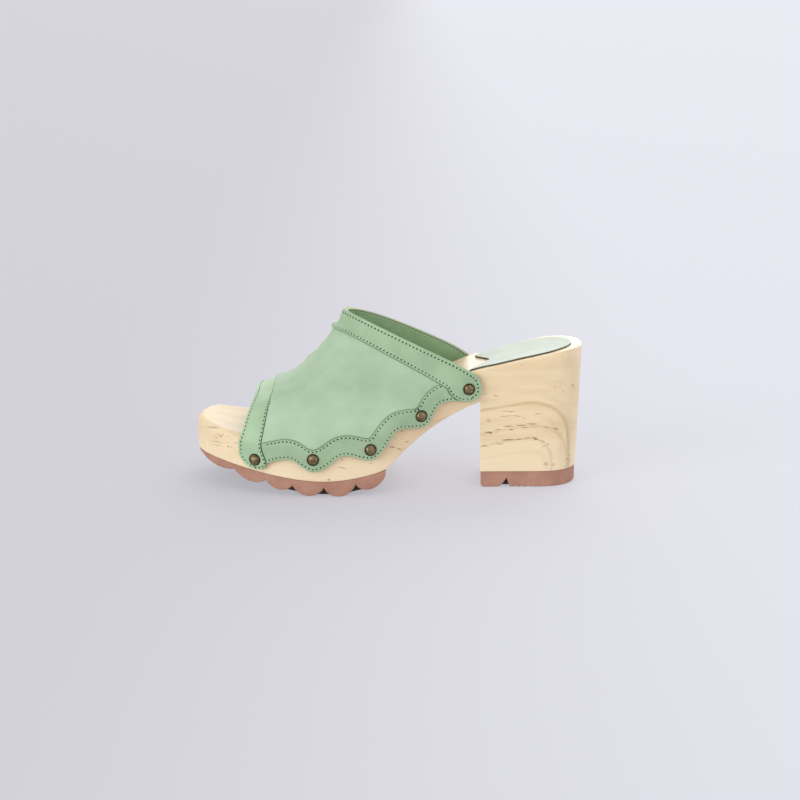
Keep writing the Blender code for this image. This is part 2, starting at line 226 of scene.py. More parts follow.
def quads(rows: np.ndarray) -> list[list[int]]:
    """Four-sided faces between the points of a grid, from the points' numbers."""
    corners = (rows[:-1, :-1], rows[1:, :-1], rows[1:, 1:], rows[:-1, 1:])
    return np.stack([corner.ravel() for corner in corners], axis=1).tolist()


def rolled(near: np.ndarray, radius: float) -> np.ndarray:
    """What a rounded edge takes off a wall at a distance from that edge."""
    return radius * (1 - np.sqrt(1 - (1 - np.clip(near / radius, 0, 1)) ** 2))


def resample(line: np.ndarray, pitch: float) -> np.ndarray:
    """Even points along a line.

    Args:
        line: Points along the line.
        pitch: Distance wanted between points; the nearest that divides the line evenly is used.

    Returns:
        Points along the line, its two ends included.
    """
    run = np.concatenate(((0.0,), np.cumsum(np.linalg.norm(np.diff(line, axis=0), axis=1))))
    marks = np.linspace(0.0, run[-1], max(2, int(round(run[-1] / pitch)) + 1))
    return np.stack([np.interp(marks, run, line[:, axis]) for axis in range(line.shape[1])], axis=1)


def tone(colour: Tone) -> tuple[float, float, float, float]:
    """Screen colour from 0 to 255 as the linear colour of a shader.

    Args:
        colour: Red, green and blue as they read on a screen.

    Returns:
        Linear red, green and blue with full alpha.
    """
    share = [part / 255 for part in colour]
    linear = [part / 12.92 if part <= 0.04045 else ((part + 0.055) / 1.055) ** 2.4 for part in share]
    return (linear[0], linear[1], linear[2], 1.0)


class Wire:
    """A socket of a finish; arithmetic on it adds Math nodes."""

    def __init__(self, graph: Graph, socket: bpy.types.NodeSocket) -> None:
        """Hold the socket and the graph it belongs to."""
        self.graph = graph
        self.socket = socket

    def __add__(self, other: Term) -> Wire:
        """Sum."""
        return self.graph.math("ADD", self, other)

    def __radd__(self, other: Term) -> Wire:
        """Sum with the wire on the right."""
        return self.graph.math("ADD", other, self)

    def __sub__(self, other: Term) -> Wire:
        """Difference."""
        return self.graph.math("SUBTRACT", self, other)

    def __rsub__(self, other: Term) -> Wire:
        """Difference with the wire on the right."""
        return self.graph.math("SUBTRACT", other, self)

    def __mul__(self, other: Term) -> Wire:
        """Product."""
        return self.graph.math("MULTIPLY", self, other)

    def __rmul__(self, other: Term) -> Wire:
        """Product with the wire on the right."""
        return self.graph.math("MULTIPLY", other, self)

    def __truediv__(self, other: Term) -> Wire:
        """Quotient."""
        return self.graph.math("DIVIDE", self, other)

    def __rtruediv__(self, other: Term) -> Wire:
        """Quotient with the wire below."""
        return self.graph.math("DIVIDE", other, self)

    def __pow__(self, other: Term) -> Wire:
        """Power."""
        return self.graph.math("POWER", self, other)

    def __rpow__(self, other: Term) -> Wire:
        """Power with the wire on top."""
        return self.graph.math("POWER", other, self)

    def __abs__(self) -> Wire:
        """Size without its sign."""
        return self.graph.math("ABSOLUTE", self)

    def at_least(self, other: Term) -> Wire:
        """The larger of two values."""
        return self.graph.math("MAXIMUM", self, other)

    def at_most(self, other: Term) -> Wire:
        """The smaller of two values."""
        return self.graph.math("MINIMUM", self, other)

    def between(self, low: float, high: float) -> Wire:
        """Smooth step from 0 at low to 1 at high, which may lie below low."""
        sockets = {"Value": self, "From Min": low, "From Max": high}
        return self.graph.node("ShaderNodeMapRange", {"interpolation_type": "SMOOTHSTEP"}, sockets)


Term = Union[Wire, float]


class Graph:
    """Node graph of one finish."""

    def __init__(self, name: str) -> None:
        """Start an empty finish.

        Args:
            name: Name of the material.
        """
        self.material = bpy.data.materials.new(name)
        self.material.use_nodes = True
        self.tree = self.material.node_tree
        self.tree.nodes.clear()

    def node(
        self,
        kind: str,
        settings: Optional[Mapping[str, Any]] = None,
        sockets: Optional[Mapping[Union[int, str], Any]] = None,
        output: Union[int, str] = 0,
    ) -> Wire:
        """Add one node.

        Args:
            kind: Type of the node.
            settings: Properties of the node, set first.
            sockets: Values or wires of its inputs by number or name.
            output: Number or name of the output to hand back.

        Returns:
            The node's output.
        """
        made = self.tree.nodes.new(kind)
        for name, value in (settings or {}).items():
            setattr(made, name, value)
        for name, value in (sockets or {}).items():
            if isinstance(value, Wire):
                self.tree.links.new(value.socket, made.inputs[name])
            else:
                made.inputs[name].default_value = value
        return Wire(self, made.outputs[output]) if len(made.outputs) else Wire(self, made.inputs[0])

    def math(self, operation: str, first: Term, second: Term = 0.0) -> Wire:
        """Math node on one or two values."""
        return self.node("ShaderNodeMath", {"operation": operation}, {0: first, 1: second})

    def vector(self, operation: str, first: Any, second: Any) -> Wire:
        """Vector Math node on two vectors."""
        return self.node("ShaderNodeVectorMath", {"operation": operation}, {0: first, 1: second})

    def mix(self, first: Any, second: Any, factor: Term) -> Wire:
        """Blend of two colours, each a wire or a screen colour.

        Args:
            first: Colour at factor 0.
            second: Colour at factor 1.
            factor: Share of the second colour.

        Returns:
            The blended colour.
        """
        ends = [colour if isinstance(colour, Wire) else tone(colour) for colour in (first, second)]
        settings = {"data_type": "RGBA", "clamp_factor": True}
        # Colours go in by inputs 6 and 7 and come out by output 2
        return self.node("ShaderNodeMix", settings, {0: factor, 6: ends[0], 7: ends[1]}, 2)

    def place(self) -> Wire:
        """Place on the shoe in millimetres."""
        metres = self.node("ShaderNodeTexCoord", output="Object")
        return self.vector("ADD", self.vector("MULTIPLY", metres, (1 / MM,) * 3), tuple(CENTRE))

    def split(self, vector: Wire) -> tuple[Wire, Wire, Wire]:
        """The three parts of a vector."""
        parts = self.node("ShaderNodeSeparateXYZ", None, {0: vector}).socket.node.outputs
        return Wire(self, parts[0]), Wire(self, parts[1]), Wire(self, parts[2])

    def shrunk(self, place: Wire, size: Size) -> Wire:
        """Place in units of a size in millimetres, the same each way or along x, y and z."""
        lengths = size if isinstance(size, tuple) else (size,) * 3
        return self.vector("MULTIPLY", place, tuple(1 / length for length in lengths))

    def noise(self, place: Wire, size: Size, detail: float = 2.0) -> Wire:
        """Noise from 0 to 1 in blots of a size, with octaves of finer blots."""
        sockets = {"Vector": self.shrunk(place, size), "Scale": 1.0, "Detail": detail}
        return self.node("ShaderNodeTexNoise", None, sockets)

    def pores(self, place: Wire, size: Size) -> Wire:
        """Distance to the nearest of scattered points, for the pebbles of a grain."""
        sockets = {"Vector": self.shrunk(place, size), "Scale": 1.0}
        return self.node("ShaderNodeTexVoronoi", {"feature": "F1"}, sockets)

    def bump(self, height: Wire, strength: float, depth: float) -> Wire:
        """Normal of a bump, from its height, the share that shows and its depth in millimetres."""
        sockets = {"Height": height, "Strength": strength, "Distance": depth * MM}
        return self.node("ShaderNodeBump", None, sockets)

    def finish(self, sockets: Mapping[str, Any]) -> Material:
        """Close the graph with its shader.

        Args:
            sockets: Values or wires of the shader by name.

        Returns:
            The finished material.
        """
        shader = self.node("ShaderNodeBsdfPrincipled", None, sockets)
        self.node("ShaderNodeOutputMaterial", None, {"Surface": shader})
        return self.material


@dataclass(frozen=True)
class PaleWood:
    """Sanded pale pine with year rings, dark streaks and pin knots."""

    name: str = "pale wood"
    light: Tone = (241, 219, 179)
    middle: Tone = (229, 204, 160)
    # Painted shade on the waist, under the arch and the upper's edge
    waist_shade: Tone = (220, 188, 150)
    # Painted light: the floor's bounce on the low wall of the wood
    pale: Tone = (252, 233, 196)
    ring: Tone = (188, 152, 107)
    streak: Tone = (128, 97, 66)
    roughness: float = 0.4
    # Sizes of blots along x, y and z
    sway_size: Size = (38.0, 30.0, 16.0)
    jag_size: Size = (5.0, 3.0, 2.2)
    broad_size: Size = (60.0, 9.0, 7.0)
    grain_size: Size = (24.0, 1.6, 1.3)
    fibre_size: Size = (9.0, 0.35, 0.3)
    gap_size: Size = (5.0, 1.0, 0.8)
    fleck_size: Size = (7.5, 0.55, 0.5)
    patch_size: Size = 22.0
    # How far the lines sway up and down
    sway: float = 2.4
    # y over which the marks of the outer wall set in
    outer_run: Run = (2.0, -6.0)
    # x over which the painted shade of the waist sets in, x over which it fades, its share
    waist_shade_in: Run = (92.0, 120.0)
    waist_shade_out: Run = (168.0, 140.0)
    waist_shade_share: float = 0.5
    # z over which the painted light of the floor's bounce sets in, its share
    floor_bounce_run: Run = (34.0, 16.0)
    floor_bounce_share: float = 0.5
    # z over which the polish of the footbed sets in, how much smoother it is
    polish_run: Run = (56.0, 70.0)
    polish: float = 0.2
    # Year rings on the outer heel wall: how far back, how high, half width, strength
    rings: Table = (
        (54.5, 54.4, 0.75, 0.7),
        (55.5, 60.5, 1.6, 0.16),
        (53.0, 39.6, 0.6, 0.42),
        (50.0, 46.5, 0.9, 0.16),
        (44.0, 32.0, 0.5, 0.42),
        (41.0, 24.0, 0.8, 0.14),
    )
    ring_from_x: float = 172.0
    ring_crest_x: float = 205.0
    ring_slope: float = 0.19
    ring_corner: float = 5.0
    ring_fade: float = 40.0
    streak_girth: float = 1.15
    streak_taper: float = 0.4
    streak_core: float = 1.3
    knot_stretch: float = 0.7
    # Dark streaks on the outer wall: start x, end x, start z, end z, half width, strength
    streaks: Table = (
        (185.1, 193.3, 38.3, 38.2, 0.35, 0.8), (193.3, 200.3, 38.7, 39.0, 0.3, 0.8),
        (200.1, 207.2, 39.8, 39.7, 0.35, 0.85), (174.5, 180.4, 34.7, 34.9, 0.35, 0.8),
        (180.4, 185.7, 36.3, 36.6, 0.3, 0.65), (189.7, 192.6, 36.3, 36.4, 0.35, 0.8),
        (197.4, 201.2, 37.1, 37.4, 0.3, 0.75), (201.7, 208.1, 37.6, 37.8, 0.3, 0.75),
        (210.0, 214.8, 38.2, 37.2, 0.3, 0.6), (214.8, 220.4, 37.5, 35.8, 0.3, 0.65),
        (217.0, 220.0, 35.9, 35.9, 0.3, 0.6), (220.5, 223.5, 33.2, 32.8, 0.4, 0.4),
        (184.8, 192.9, 29.6, 30.0, 0.4, 0.95), (192.9, 198.1, 29.9, 30.3, 0.3, 0.8),
        (198.1, 203.7, 30.3, 31.2, 0.35, 0.6), (203.5, 208.0, 31.4, 29.6, 0.45, 0.85),
        (208.0, 211.9, 29.6, 27.8, 0.35, 0.6), (172.7, 177.0, 26.3, 26.9, 0.35, 0.7),
        (181.8, 187.5, 27.4, 27.5, 0.3, 0.65), (177.0, 184.8, 27.4, 28.8, 0.25, 0.35),
        (175.6, 178.4, 42.3, 42.5, 0.3, 0.6), (175.2, 179.3, 41.2, 41.3, 0.3, 0.55),
        (185.0, 188.8, 47.4, 48.2, 0.25, 0.4), (187.6, 193.8, 47.6, 47.5, 0.3, 0.5),
        (204.2, 210.5, 46.0, 46.3, 0.3, 0.5), (183.7, 191.5, 44.0, 44.9, 0.3, 0.55),
        (191.5, 197.0, 44.9, 44.4, 0.3, 0.55), (197.0, 200.3, 44.4, 42.5, 0.3, 0.45),
        (209.0, 212.8, 24.6, 25.8, 0.3, 0.5), (176.5, 184.2, 76.6, 76.8, 0.3, 0.25),
        (195.3, 198.1, 76.9, 76.8, 0.3, 0.35), (5.5, 15.8, 35.1, 36.7, 0.5, 0.45),
        (7.4, 19.5, 27.3, 28.1, 0.4, 0.35), (8.6, 18.2, 25.7, 25.9, 0.35, 0.3),
        (23.5, 27.1, 29.3, 30.3, 0.4, 0.35), (116.8, 121.6, 29.8, 28.9, 0.5, 0.6),
        (121.6, 125.8, 28.6, 26.8, 0.5, 0.65), (124.0, 126.4, 38.8, 38.8, 0.5, 0.4),
        (126.4, 130.0, 32.4, 31.8, 0.4, 0.4), (86.5, 92.5, 18.5, 17.5, 0.4, 0.45),
    )
    # Pin knots: x, z, radius, strength
    knots: Table = (
        (15.9, 32.2, 0.8, 0.8), (17.4, 33.7, 0.5, 0.5), (14.0, 32.8, 0.5, 0.45),
        (20.6, 33.2, 0.5, 0.45), (12.7, 30.8, 0.6, 0.5), (20.5, 26.7, 0.7, 0.7), (22.7, 27.0, 0.5, 0.5),
        (20.3, 29.2, 0.5, 0.4), (81.7, 10.9, 0.7, 0.8), (89.5, 23.1, 0.6, 0.5), (106.7, 20.0, 0.6, 0.5),
        (125.2, 34.2, 0.6, 0.3), (121.0, 34.7, 0.6, 0.45), (178.5, 34.3, 0.8, 0.9),
        (205.6, 30.4, 0.9, 0.7), (213.5, 26.9, 0.7, 0.5), (212.6, 14.5, 1.5, 0.35),
        (217.1, 13.8, 1.2, 0.3), (181.2, 57.7, 0.6, 0.7), (182.6, 57.5, 0.5, 0.6),
        (175.4, 58.8, 0.6, 0.5), (228.2, 61.9, 0.8, 0.6), (229.3, 60.5, 0.6, 0.5),
        (216.9, 62.8, 0.7, 0.3), (222.2, 59.6, 0.6, 0.3), (226.3, 15.6, 0.7, 0.6),
        (227.6, 17.4, 0.6, 0.5), (227.6, 14.2, 0.6, 0.5),
    )

    def make(self) -> Material:
        """Build the wood.

        Returns:
            The material.
        """
        g = Graph(self.name)
        place = g.place()
        x, y, z = g.split(place)
        sway = g.noise(place, self.sway_size) - 0.5
        jag = g.noise(place, self.jag_size) - 0.5
        wavy = z + sway * self.sway
        outer = y.between(*self.outer_run)
        broad = g.noise(place, self.broad_size, detail=3.0)
        grain = g.noise(place, self.grain_size, detail=3.0)
        fibre = g.noise(place, self.fibre_size)
        marks = self._rings(x, wavy) * (0.45 + 0.9 * grain)
        broken = g.noise(place, self.gap_size, detail=1.0).between(0.3, 0.5)
        streaks = self._streaks(x, wavy + jag * 0.8) * (0.65 + 0.6 * broken)
        dashes = (streaks + self._knots(x, z + jag)) * outer * (0.5 + 0.9 * fibre)
        flecks = g.noise(place, self.fleck_size, detail=1.0).between(0.69, 0.8)
        patches = g.noise(place, self.patch_size, detail=1.0).between(0.5, 0.68)
        share = broad.between(0.3, 0.72) * 0.75 + grain.between(0.4, 0.7) * 0.3
        colour = g.mix(self.light, self.middle, share)
        # Painted shade on the waist wall, under the arch
        waist = x.between(*self.waist_shade_in) * x.between(*self.waist_shade_out)
        colour = g.mix(colour, self.waist_shade, waist * self.waist_shade_share)
        # Painted light: paler towards the floor, where its bounce falls
        colour = g.mix(colour, self.pale, z.between(*self.floor_bounce_run) * self.floor_bounce_share)
        colour = g.mix(colour, self.ring, marks.at_most(1.0) * 0.8 + (fibre - 0.5) * 0.16)
        colour = g.mix(colour, self.streak, (dashes + flecks * patches * 0.34).at_most(0.85))
        height = fibre * 0.5 + grain * 0.4 - dashes * 0.5
        return g.finish({
            "Base Color": colour,
            "Roughness": self.roughness + grain * 0.16 - z.between(*self.polish_run) * self.polish,
            "Normal": g.bump(height, strength=0.3, depth=0.16),
            "Specular IOR Level": 0.5,
        })

    def _rings(self, x: Wire, z: Wire) -> Wire:
        """Year rings as rounded arches that end at the back of the heel.

        Args:
            x: Place along the shoe.
            z: Height, already wavy.

        Returns:
            Strength of the rings from 0 up.
        """
        power = self.ring_corner
        rise = (z + (self.ring_crest_x - x).at_least(0.0) * self.ring_slope).at_least(0.01)
        back = (x - self.ring_from_x).at_least(0.01)
        total: Term = 0.0
        for reach, top, width, strength in self.rings:
            arch = ((back / reach) ** power + (rise / top) ** power) ** (1 / power)
            total = total + (1 - abs(arch - 1) * (top / (2 * width))).at_least(0.0) * strength
        return total * x.between(self.ring_from_x - self.ring_fade, self.ring_from_x)

    def _streaks(self, x: Wire, z: Wire) -> Wire:
        """Dark resin streaks, tapered at both ends.

        Args:
            x: Place along the shoe.
            z: Height, already wavy.

        Returns:
            Strength of the streaks from 0 up.
        """
        total: Term = 0.0
        for start, end, low, high, width, strength in self.streaks:
            slope = (high - low) / (end - start)
            off = abs(z - x * slope - (low - slope * start)) / (width * self.streak_girth)
            reach = 1 - abs(x - (start + end) / 2) / ((end - start) / 2)
            core = reach.at_least(0.0) ** self.streak_taper * self.streak_core
            total = total + (core - off).at_least(0.0) * strength
        return total

    def _knots(self, x: Wire, z: Wire) -> Wire:
        """Round pin knots.

        Args:
            x: Place along the shoe.
            z: Height.

        Returns:
            Strength of the knots from 0 up.
        """
        total: Term = 0.0
        for middle, height, radius, strength in self.knots:
            off = (((x - middle) * self.knot_stretch) ** 2.0 + (z - height) ** 2.0) / (radius * radius)
            total = total + (1 - off).at_least(0.0) * strength
        return total


@dataclass(frozen=True)
class SalmonRubber:
    """Matt cast rubber with a fine skin."""

    name: str = "salmon rubber"
    light: Tone = (185, 140, 118)
    dark: Tone = (167, 122, 102)
    cloud_size: Size = 9.0
    skin_size: Size = 0.5

    def make(self) -> Material:
        """Build the rubber.

        Returns:
            The material.
        """
        g = Graph(self.name)
        place = g.place()
        clouds = g.noise(place, self.cloud_size, detail=3.0)
        skin = g.noise(place, self.skin_size)
        colour = g.mix(self.dark, self.light, clouds.between(0.3, 0.7) * 0.7 + skin * 0.3)
        return g.finish({
            "Base Color": colour,
            "Roughness": 0.62 + skin * 0.2,
            "Normal": g.bump(skin * 0.6 + clouds * 0.4, strength=0.3, depth=0.12),
            "Specular IOR Level": 0.3,
        })


@dataclass(frozen=True)
class Nubuck:
    """Brushed nubuck with soft clouds of colour and a short nap."""

    name: str = "mint nubuck"
    light: Tone = (181, 204, 172)
    dark: Tone = (160, 184, 152)
    cloud_size: Size = 24.0
    patch_size: Size = (9.0, 9.0, 7.0)
    nap_size: Size = 0.55
    # z over which painted light makes the lower vamp paler, its share
    painted_light_run: Run = (64.0, 44.0)
    painted_light_share: float = 0.4

    def make(self) -> Material:
        """Build the nubuck.

        Returns:
            The material.
        """
        g = Graph(self.name)
        place = g.place()
        clouds = g.noise(place, self.cloud_size)
        patches = g.noise(place, self.patch_size, detail=3.0)
        nap = g.noise(place, self.nap_size, detail=3.0)
        _, _, z = g.split(place)
        share = clouds.between(0.25, 0.75) * 0.5 + patches.between(0.3, 0.7) * 0.25 + nap * 0.1
        # Painted light: paler towards the foot of the vamp, which faces the front light
        share = share + z.between(*self.painted_light_run) * self.painted_light_share
        return g.finish({
            "Base Color": g.mix(self.dark, self.light, share),
            "Roughness": 0.8 + nap * 0.15,
            "Normal": g.bump(nap * 0.7 + patches * 0.3, strength=0.35, depth=0.16),
            "Sheen Weight": 0.12,
            "Sheen Roughness": 0.6,
            "Specular IOR Level": 0.2,
        })


@dataclass(frozen=True)
class GrainLeather:
    """Smooth dyed leather with a fine pebble and a soft gloss."""

    name: str = "green leather"
    light: Tone = (166, 192, 153)
    dark: Tone = (149, 176, 139)
    roughness: float = 0.4
    pebble: float = 0.75
    cloud_size: Size = 15.0
    fine_size: Size = 0.4

    def make(self) -> Material:
        """Build the leather.

        Returns:
            The material.
        """
        g = Graph(self.name)
        place = g.place()
        clouds = g.noise(place, self.cloud_size, detail=3.0)
        pebbles = g.pores(place, self.pebble)
        fine = g.noise(place, self.fine_size)
        share = clouds.between(0.3, 0.7) * 0.7 + fine * 0.2 + pebbles * 0.1
        return g.finish({
            "Base Color": g.mix(self.dark, self.light, share),
            "Roughness": self.roughness + fine * 0.14,
            "Normal": g.bump(pebbles * 0.6 + fine * 0.4, strength=0.28, depth=0.1),
            "Specular IOR Level": 0.4,
        })


@dataclass(frozen=True)
class CutEdge:
    """Cut edge of leather with its fibres."""

    name: str = "dark cut edge and seam shade"
    light: Tone = (84, 112, 78)
    dark: Tone = (54, 78, 50)
    gloss: float = 0.3
    fibre_size: Size = 0.6

    def make(self) -> Material:
        """Build the cut edge.

        Returns:
            The material.
        """
        g = Graph(self.name)
        fibres = g.noise(g.place(), self.fibre_size, detail=3.0)
        return g.finish({
            "Base Color": g.mix(self.dark, self.light, fibres),
            "Roughness": 0.7 + fibres * 0.2,
            "Normal": g.bump(fibres, strength=0.4, depth=0.1),
            "Specular IOR Level": self.gloss,
        })


@dataclass(frozen=True)
class AntiqueBrass:
    """Aged brass, brown where the polish does not reach."""

    name: str = "antique brass"
    light: Tone = (150, 134, 100)
    dark: Tone = (104, 88, 62)
    roughness: float = 0.36
    tarnish_size: Size = 1.8
    fine_size: Size = 0.3

    def make(self) -> Material:
        """Build the brass.

        Returns:
            The material.
        """
        g = Graph(self.name)
        place = g.place()
        tarnish = g.noise(place, self.tarnish_size, detail=3.0)
        fine = g.noise(place, self.fine_size)
        return g.finish({
            "Base Color": g.mix(self.dark, self.light, tarnish.between(0.3, 0.7)),
            "Roughness": self.roughness + tarnish * 0.12,
            "Metallic": 0.85 + fine * 0.1,
            "Normal": g.bump(fine, strength=0.15, depth=0.05),
        })


@dataclass(frozen=True)
class PaleFloor:
    """Plain pale floor with a soft glow and painted light falloff, a little darker towards the toe."""

    name: str = "pale floor"
    left: Tone = (134, 133, 137)
    right: Tone = (147, 147, 152)
    reach: float = 260.0
    glow: float = 1.54
    fine_size: Size = 3.0

    def make(self) -> Material:
        """Build the floor.

        Returns:
            The material.
        """
        g = Graph(self.name)
        place = g.place()
        x, _, _ = g.split(place)
        fine = g.noise(place, self.fine_size)
        # Painted light falloff: darker towards the toe, lighter towards the heel
        colour = g.mix(self.left, self.right, (x - CENTRE[0]).between(-self.reach, self.reach))
        return g.finish({
            "Base Color": colour,
            "Emission Color": colour,
            "Emission Strength": self.glow,
            "Roughness": 0.85 + fine * 0.1,
            "Specular IOR Level": 0.1,
        })


@dataclass
class Draft:
    """Points and faces of a piece while it is being made."""

    points: list[np.ndarray] = field(default_factory=list)
    faces: list[Sequence[int]] = field(default_factory=list)
    numbers: list[int] = field(default_factory=list)
    count: int = 0

    def add_points(self, points: np.ndarray) -> np.ndarray:
        """Add points.

        Args:
            points: Array of points in millimetres, last axis x, y, z.

        Returns:
            The points' numbers in the array's shape.
        """
        flat = points.reshape(-1, 3)
        numbers = np.arange(self.count, self.count + len(flat)).reshape(points.shape[:-1])
        self.points.append(flat)
        self.count += len(flat)
        return numbers

    def add_quads(self, rows: np.ndarray, finish: int, flip: bool = False, wrap: bool = False) -> None:
        """Fill a grid of points with four-sided faces.

        Args:
            rows: Numbers of the points, one row after another.
            finish: Number of the finish.
            flip: Turn the faces over.
            wrap: Join the last column to the first.
        """
        if wrap:
            rows = np.concatenate((rows, rows[:, :1]), axis=1)
        faces = quads(rows)
        self.faces += [face[::-1] for face in faces] if flip else faces
        self.numbers += [finish] * len(faces)

    def add_face(self, corners: Sequence[int], finish: int) -> None:
        """Add one face."""
        self.faces.append([int(corner) for corner in corners])
        self.numbers.append(finish)

    def make(
        self,
        name: str,
        finishes: Finishes,
        slot: Slot,
        nodes: Sequence[str] = (),
        sharp: float = 38.0,
        turn_out: bool = True,
    ) -> None:
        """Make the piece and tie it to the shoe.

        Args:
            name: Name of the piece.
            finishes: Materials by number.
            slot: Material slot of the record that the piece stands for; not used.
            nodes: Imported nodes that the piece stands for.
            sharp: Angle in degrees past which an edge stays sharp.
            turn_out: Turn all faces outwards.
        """
        mesh = bpy.data.meshes.new(name)
        places = (np.concatenate(self.points) - CENTRE) * MM
        mesh.from_pydata(places.tolist(), [], self.faces)
        for finish in finishes:
            mesh.materials.append(finish)
        mesh.polygons.foreach_set("material_index", self.numbers)
        if turn_out:
            work = bmesh.new()
            work.from_mesh(mesh)
            bmesh.ops.recalc_face_normals(work, faces=work.faces)
            work.to_mesh(mesh)
            work.free()
        mesh.shade_smooth()
        mesh.set_sharp_from_angle(angle=math.radians(sharp))
        mesh.update()
        piece = bpy.data.objects.new(name, mesh)
        bpy.context.scene.collection.objects.link(piece)
        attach(piece, BODY)
        if nodes:
            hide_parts(*nodes)
        log.info("%s: %d faces", name, len(mesh.polygons))


@dataclass
class ShoeForm:
    """Outline of the sole and shape of the last that the upper is drawn on."""

    gap: float = 0.3
    toe_x: float = -0.9
    heel_x: float = 235.0
    tip_y: float = 8.0
    toe_round_outer: float = 75.0
    toe_round_inner: float = 13.0
    heel_round: float = 30.0
    heel_power: float = 2.2
    heel_draft: float = 0.062
    back_draft: float = 0.04
    draft_from_x: float = 110.0
    draft_full_x: float = 170.0
    back_from_x: float = 205.0
    base_drop: float = 2.0
    ridge_y: float = 2.0
    footbed_cup: float = 1.2
    cup_toe_run: float = 30.0
    cup_heel_run: float = 20.0
    vamp_wall: float = 1.6
    vamp_puff: float = 1.1
    breast_x: float = 172.4
    breast_y: float = -27.0
    breast_turn: float = 0.045
    breast_reach: float = 14.0
    plan_points: int = 2401
    plan_step: int = 3
    search_back: float = 20.0
    search_ahead: float = 40.0
    search_steps: int = 40
    # Plan edges before the ends are rounded: x, outer y, inner y
    plan: Table = (
        (-0.9, -46.0, 36.0), (12, -46.4, 37.0), (25, -46.7, 39.5), (45, -47.1, 42.5), (62, -47.5, 44.0),
        (78, -47.8, 43.5), (95, -46.8, 41.0), (115, -43.0, 36.0), (135, -36.8, 30.0),
        (150, -32.8, 25.6), (160, -31.0, 22.9), (168, -29.9, 22.4), (176, -29.6, 24.0),
        (188, -29.5, 27.0), (205, -29.5, 29.0), (235.8, -29.5, 29.5),
    )
    # Footbed at its edge: x, z
    footbed: Table = (
        (-0.9, 39.0), (10, 37.9), (20, 36.3), (30, 34.7), (45, 33.2), (60, 32.5), (75, 32.4),
        (90, 33.6), (104, 37.2), (120, 45.8), (136, 56.0), (150, 64.4), (166, 72.0), (184, 76.4),
        (207, 81.6), (221, 84.0), (235.8, 85.7),
    )
    # Underside of the wood in front of the arch: x, z
    underside: Table = (
        (-0.9, 19.5), (12, 18.3), (28, 15.8), (49, 12.2), (64, 10.2), (80, 9.3), (94, 10.4),
        (106, 12.6), (116, 15.0), (130, 13.0), (150, 10.0), (165, 9.7), (235.8, 9.7),
    )
    # Rolled top edge of the wood: x, radius
    roll: Table = ((-0.9, 3.8), (30, 3.8), (70, 3.2), (150, 2.6), (180, 1.6), (215, 1.6), (235.8, 1.9))
    # Fan of sections through the upper: x at the footbed edge, x and z at the ridge, peak of the section
    fan: Table = (
        (22, 35.8, 55.5, 0.84), (29, 40.3, 57.4, 0.85), (42, 48.6, 60.9, 0.87), (60, 56.0, 64.4, 0.91),
        (92, 67.5, 72.8, 1.02), (130, 80.5, 87.2, 1.20), (171, 94.6, 104.4, 1.38),
    )
    # How far the ridge is drawn forward at the collar: x at the footbed edge, distance
    pull: Table = ((29, 0.0), (130, 0.0), (150, 0.8), (171, 2.4))
    pull_power: float = 16.0
    # Fullness of the inner side half way up: x at the footbed edge, extra width
    swell: Table = ((29, 0.0), (125, 0.0), (150, 4.0), (171, 8.5))
    swell_rise: float = 0.12

    def __post_init__(self) -> None:
        """Draw the curves through the tables."""
        self.swell_at = Curve(self.swell)
        self.pull_at = Curve(self.pull)
        self.plan_edge = {Side.LATERAL: Curve(self.plan, 1), Side.MEDIAL: Curve(self.plan, 2)}
        self.toe_round = {Side.LATERAL: self.toe_round_outer, Side.MEDIAL: self.toe_round_inner}
        self.footbed_z = Curve(self.footbed)
        self.underside_z = Curve(self.underside)
        self.roll_at = Curve(self.roll)
        self.ridge_x = Curve(self.fan, 1)
        self.ridge_z = Curve(self.fan, 2)
        self.peak = Curve(self.fan, 3)

    @staticmethod
    def end_round(share: Number, power: float) -> np.ndarray:
        """Rounding of an end of the plan, 0 at the tip and 1 where it stops."""
        return (1 - np.clip(1 - np.asarray(share), 0.0, 1.0) ** power) ** (1 / power)

    def edge(self, x: Number, side: Side) -> np.ndarray:
        """Edge of the wood at the footbed.

        Args:
            x: Place along the shoe.
            side: Side of the shoe.

        Returns:
            y of the edge.
        """
        x = np.asarray(x, dtype=float)
        toe = self.end_round((x - self.toe_x) / self.toe_round[side], 2.0)
        heel = self.end_round((self.heel_x - x) / self.heel_round, self.heel_power)
        return (self.tip_y + (self.plan_edge[side](x) - self.tip_y) * toe) * heel

    def outline(self, stations: np.ndarray) -> tuple[dict[Side, np.ndarray], dict[Side, np.ndarray]]:
        """Plan points and their outward directions.

        Args:
            stations: Places along the shoe.

        Returns:
            Points by side, and directions by side.
        """
        fine = spread(self.toe_x, self.heel_x, self.plan_points)
        outer = np.stack((fine, self.edge(fine, Side.LATERAL)), axis=1)
        inner = np.stack((fine, self.edge(fine, Side.MEDIAL)), axis=1)[::-1]
        loop = np.concatenate((outer, inner))
        step = self.plan_step
        along = np.roll(loop, -step, axis=0) - np.roll(loop, step, axis=0)
        outward = unit(np.stack((along[:, 1], -along[:, 0]), axis=1))
        halves = {Side.LATERAL: outward[:len(fine)], Side.MEDIAL: outward[len(fine):][::-1]}
        points = {}
        normals = {}
        for side, half in halves.items():
            points[side] = np.stack((stations, self.edge(stations, side)), axis=1)
            normals[side] = unit(np.stack([np.interp(stations, fine, half[:, k]) for k in (0, 1)], axis=1))
        return points, normals

    def draft(self, x: Number) -> np.ndarray:
        """Inward slope of the side wall, none at the forefoot and full at the heel.

        Args:
            x: Places along the shoe.

        Returns:
            How far the wall leans in for each millimetre down.
        """
        x = np.asarray(x, dtype=float)
        share = np.clip((x - self.draft_from_x) / (self.draft_full_x - self.draft_from_x), 0.0, 1.0)
        back = ease((x - self.back_from_x) / (self.heel_x - self.back_from_x))
        return (self.heel_draft + (self.back_draft - self.heel_draft) * back) * share

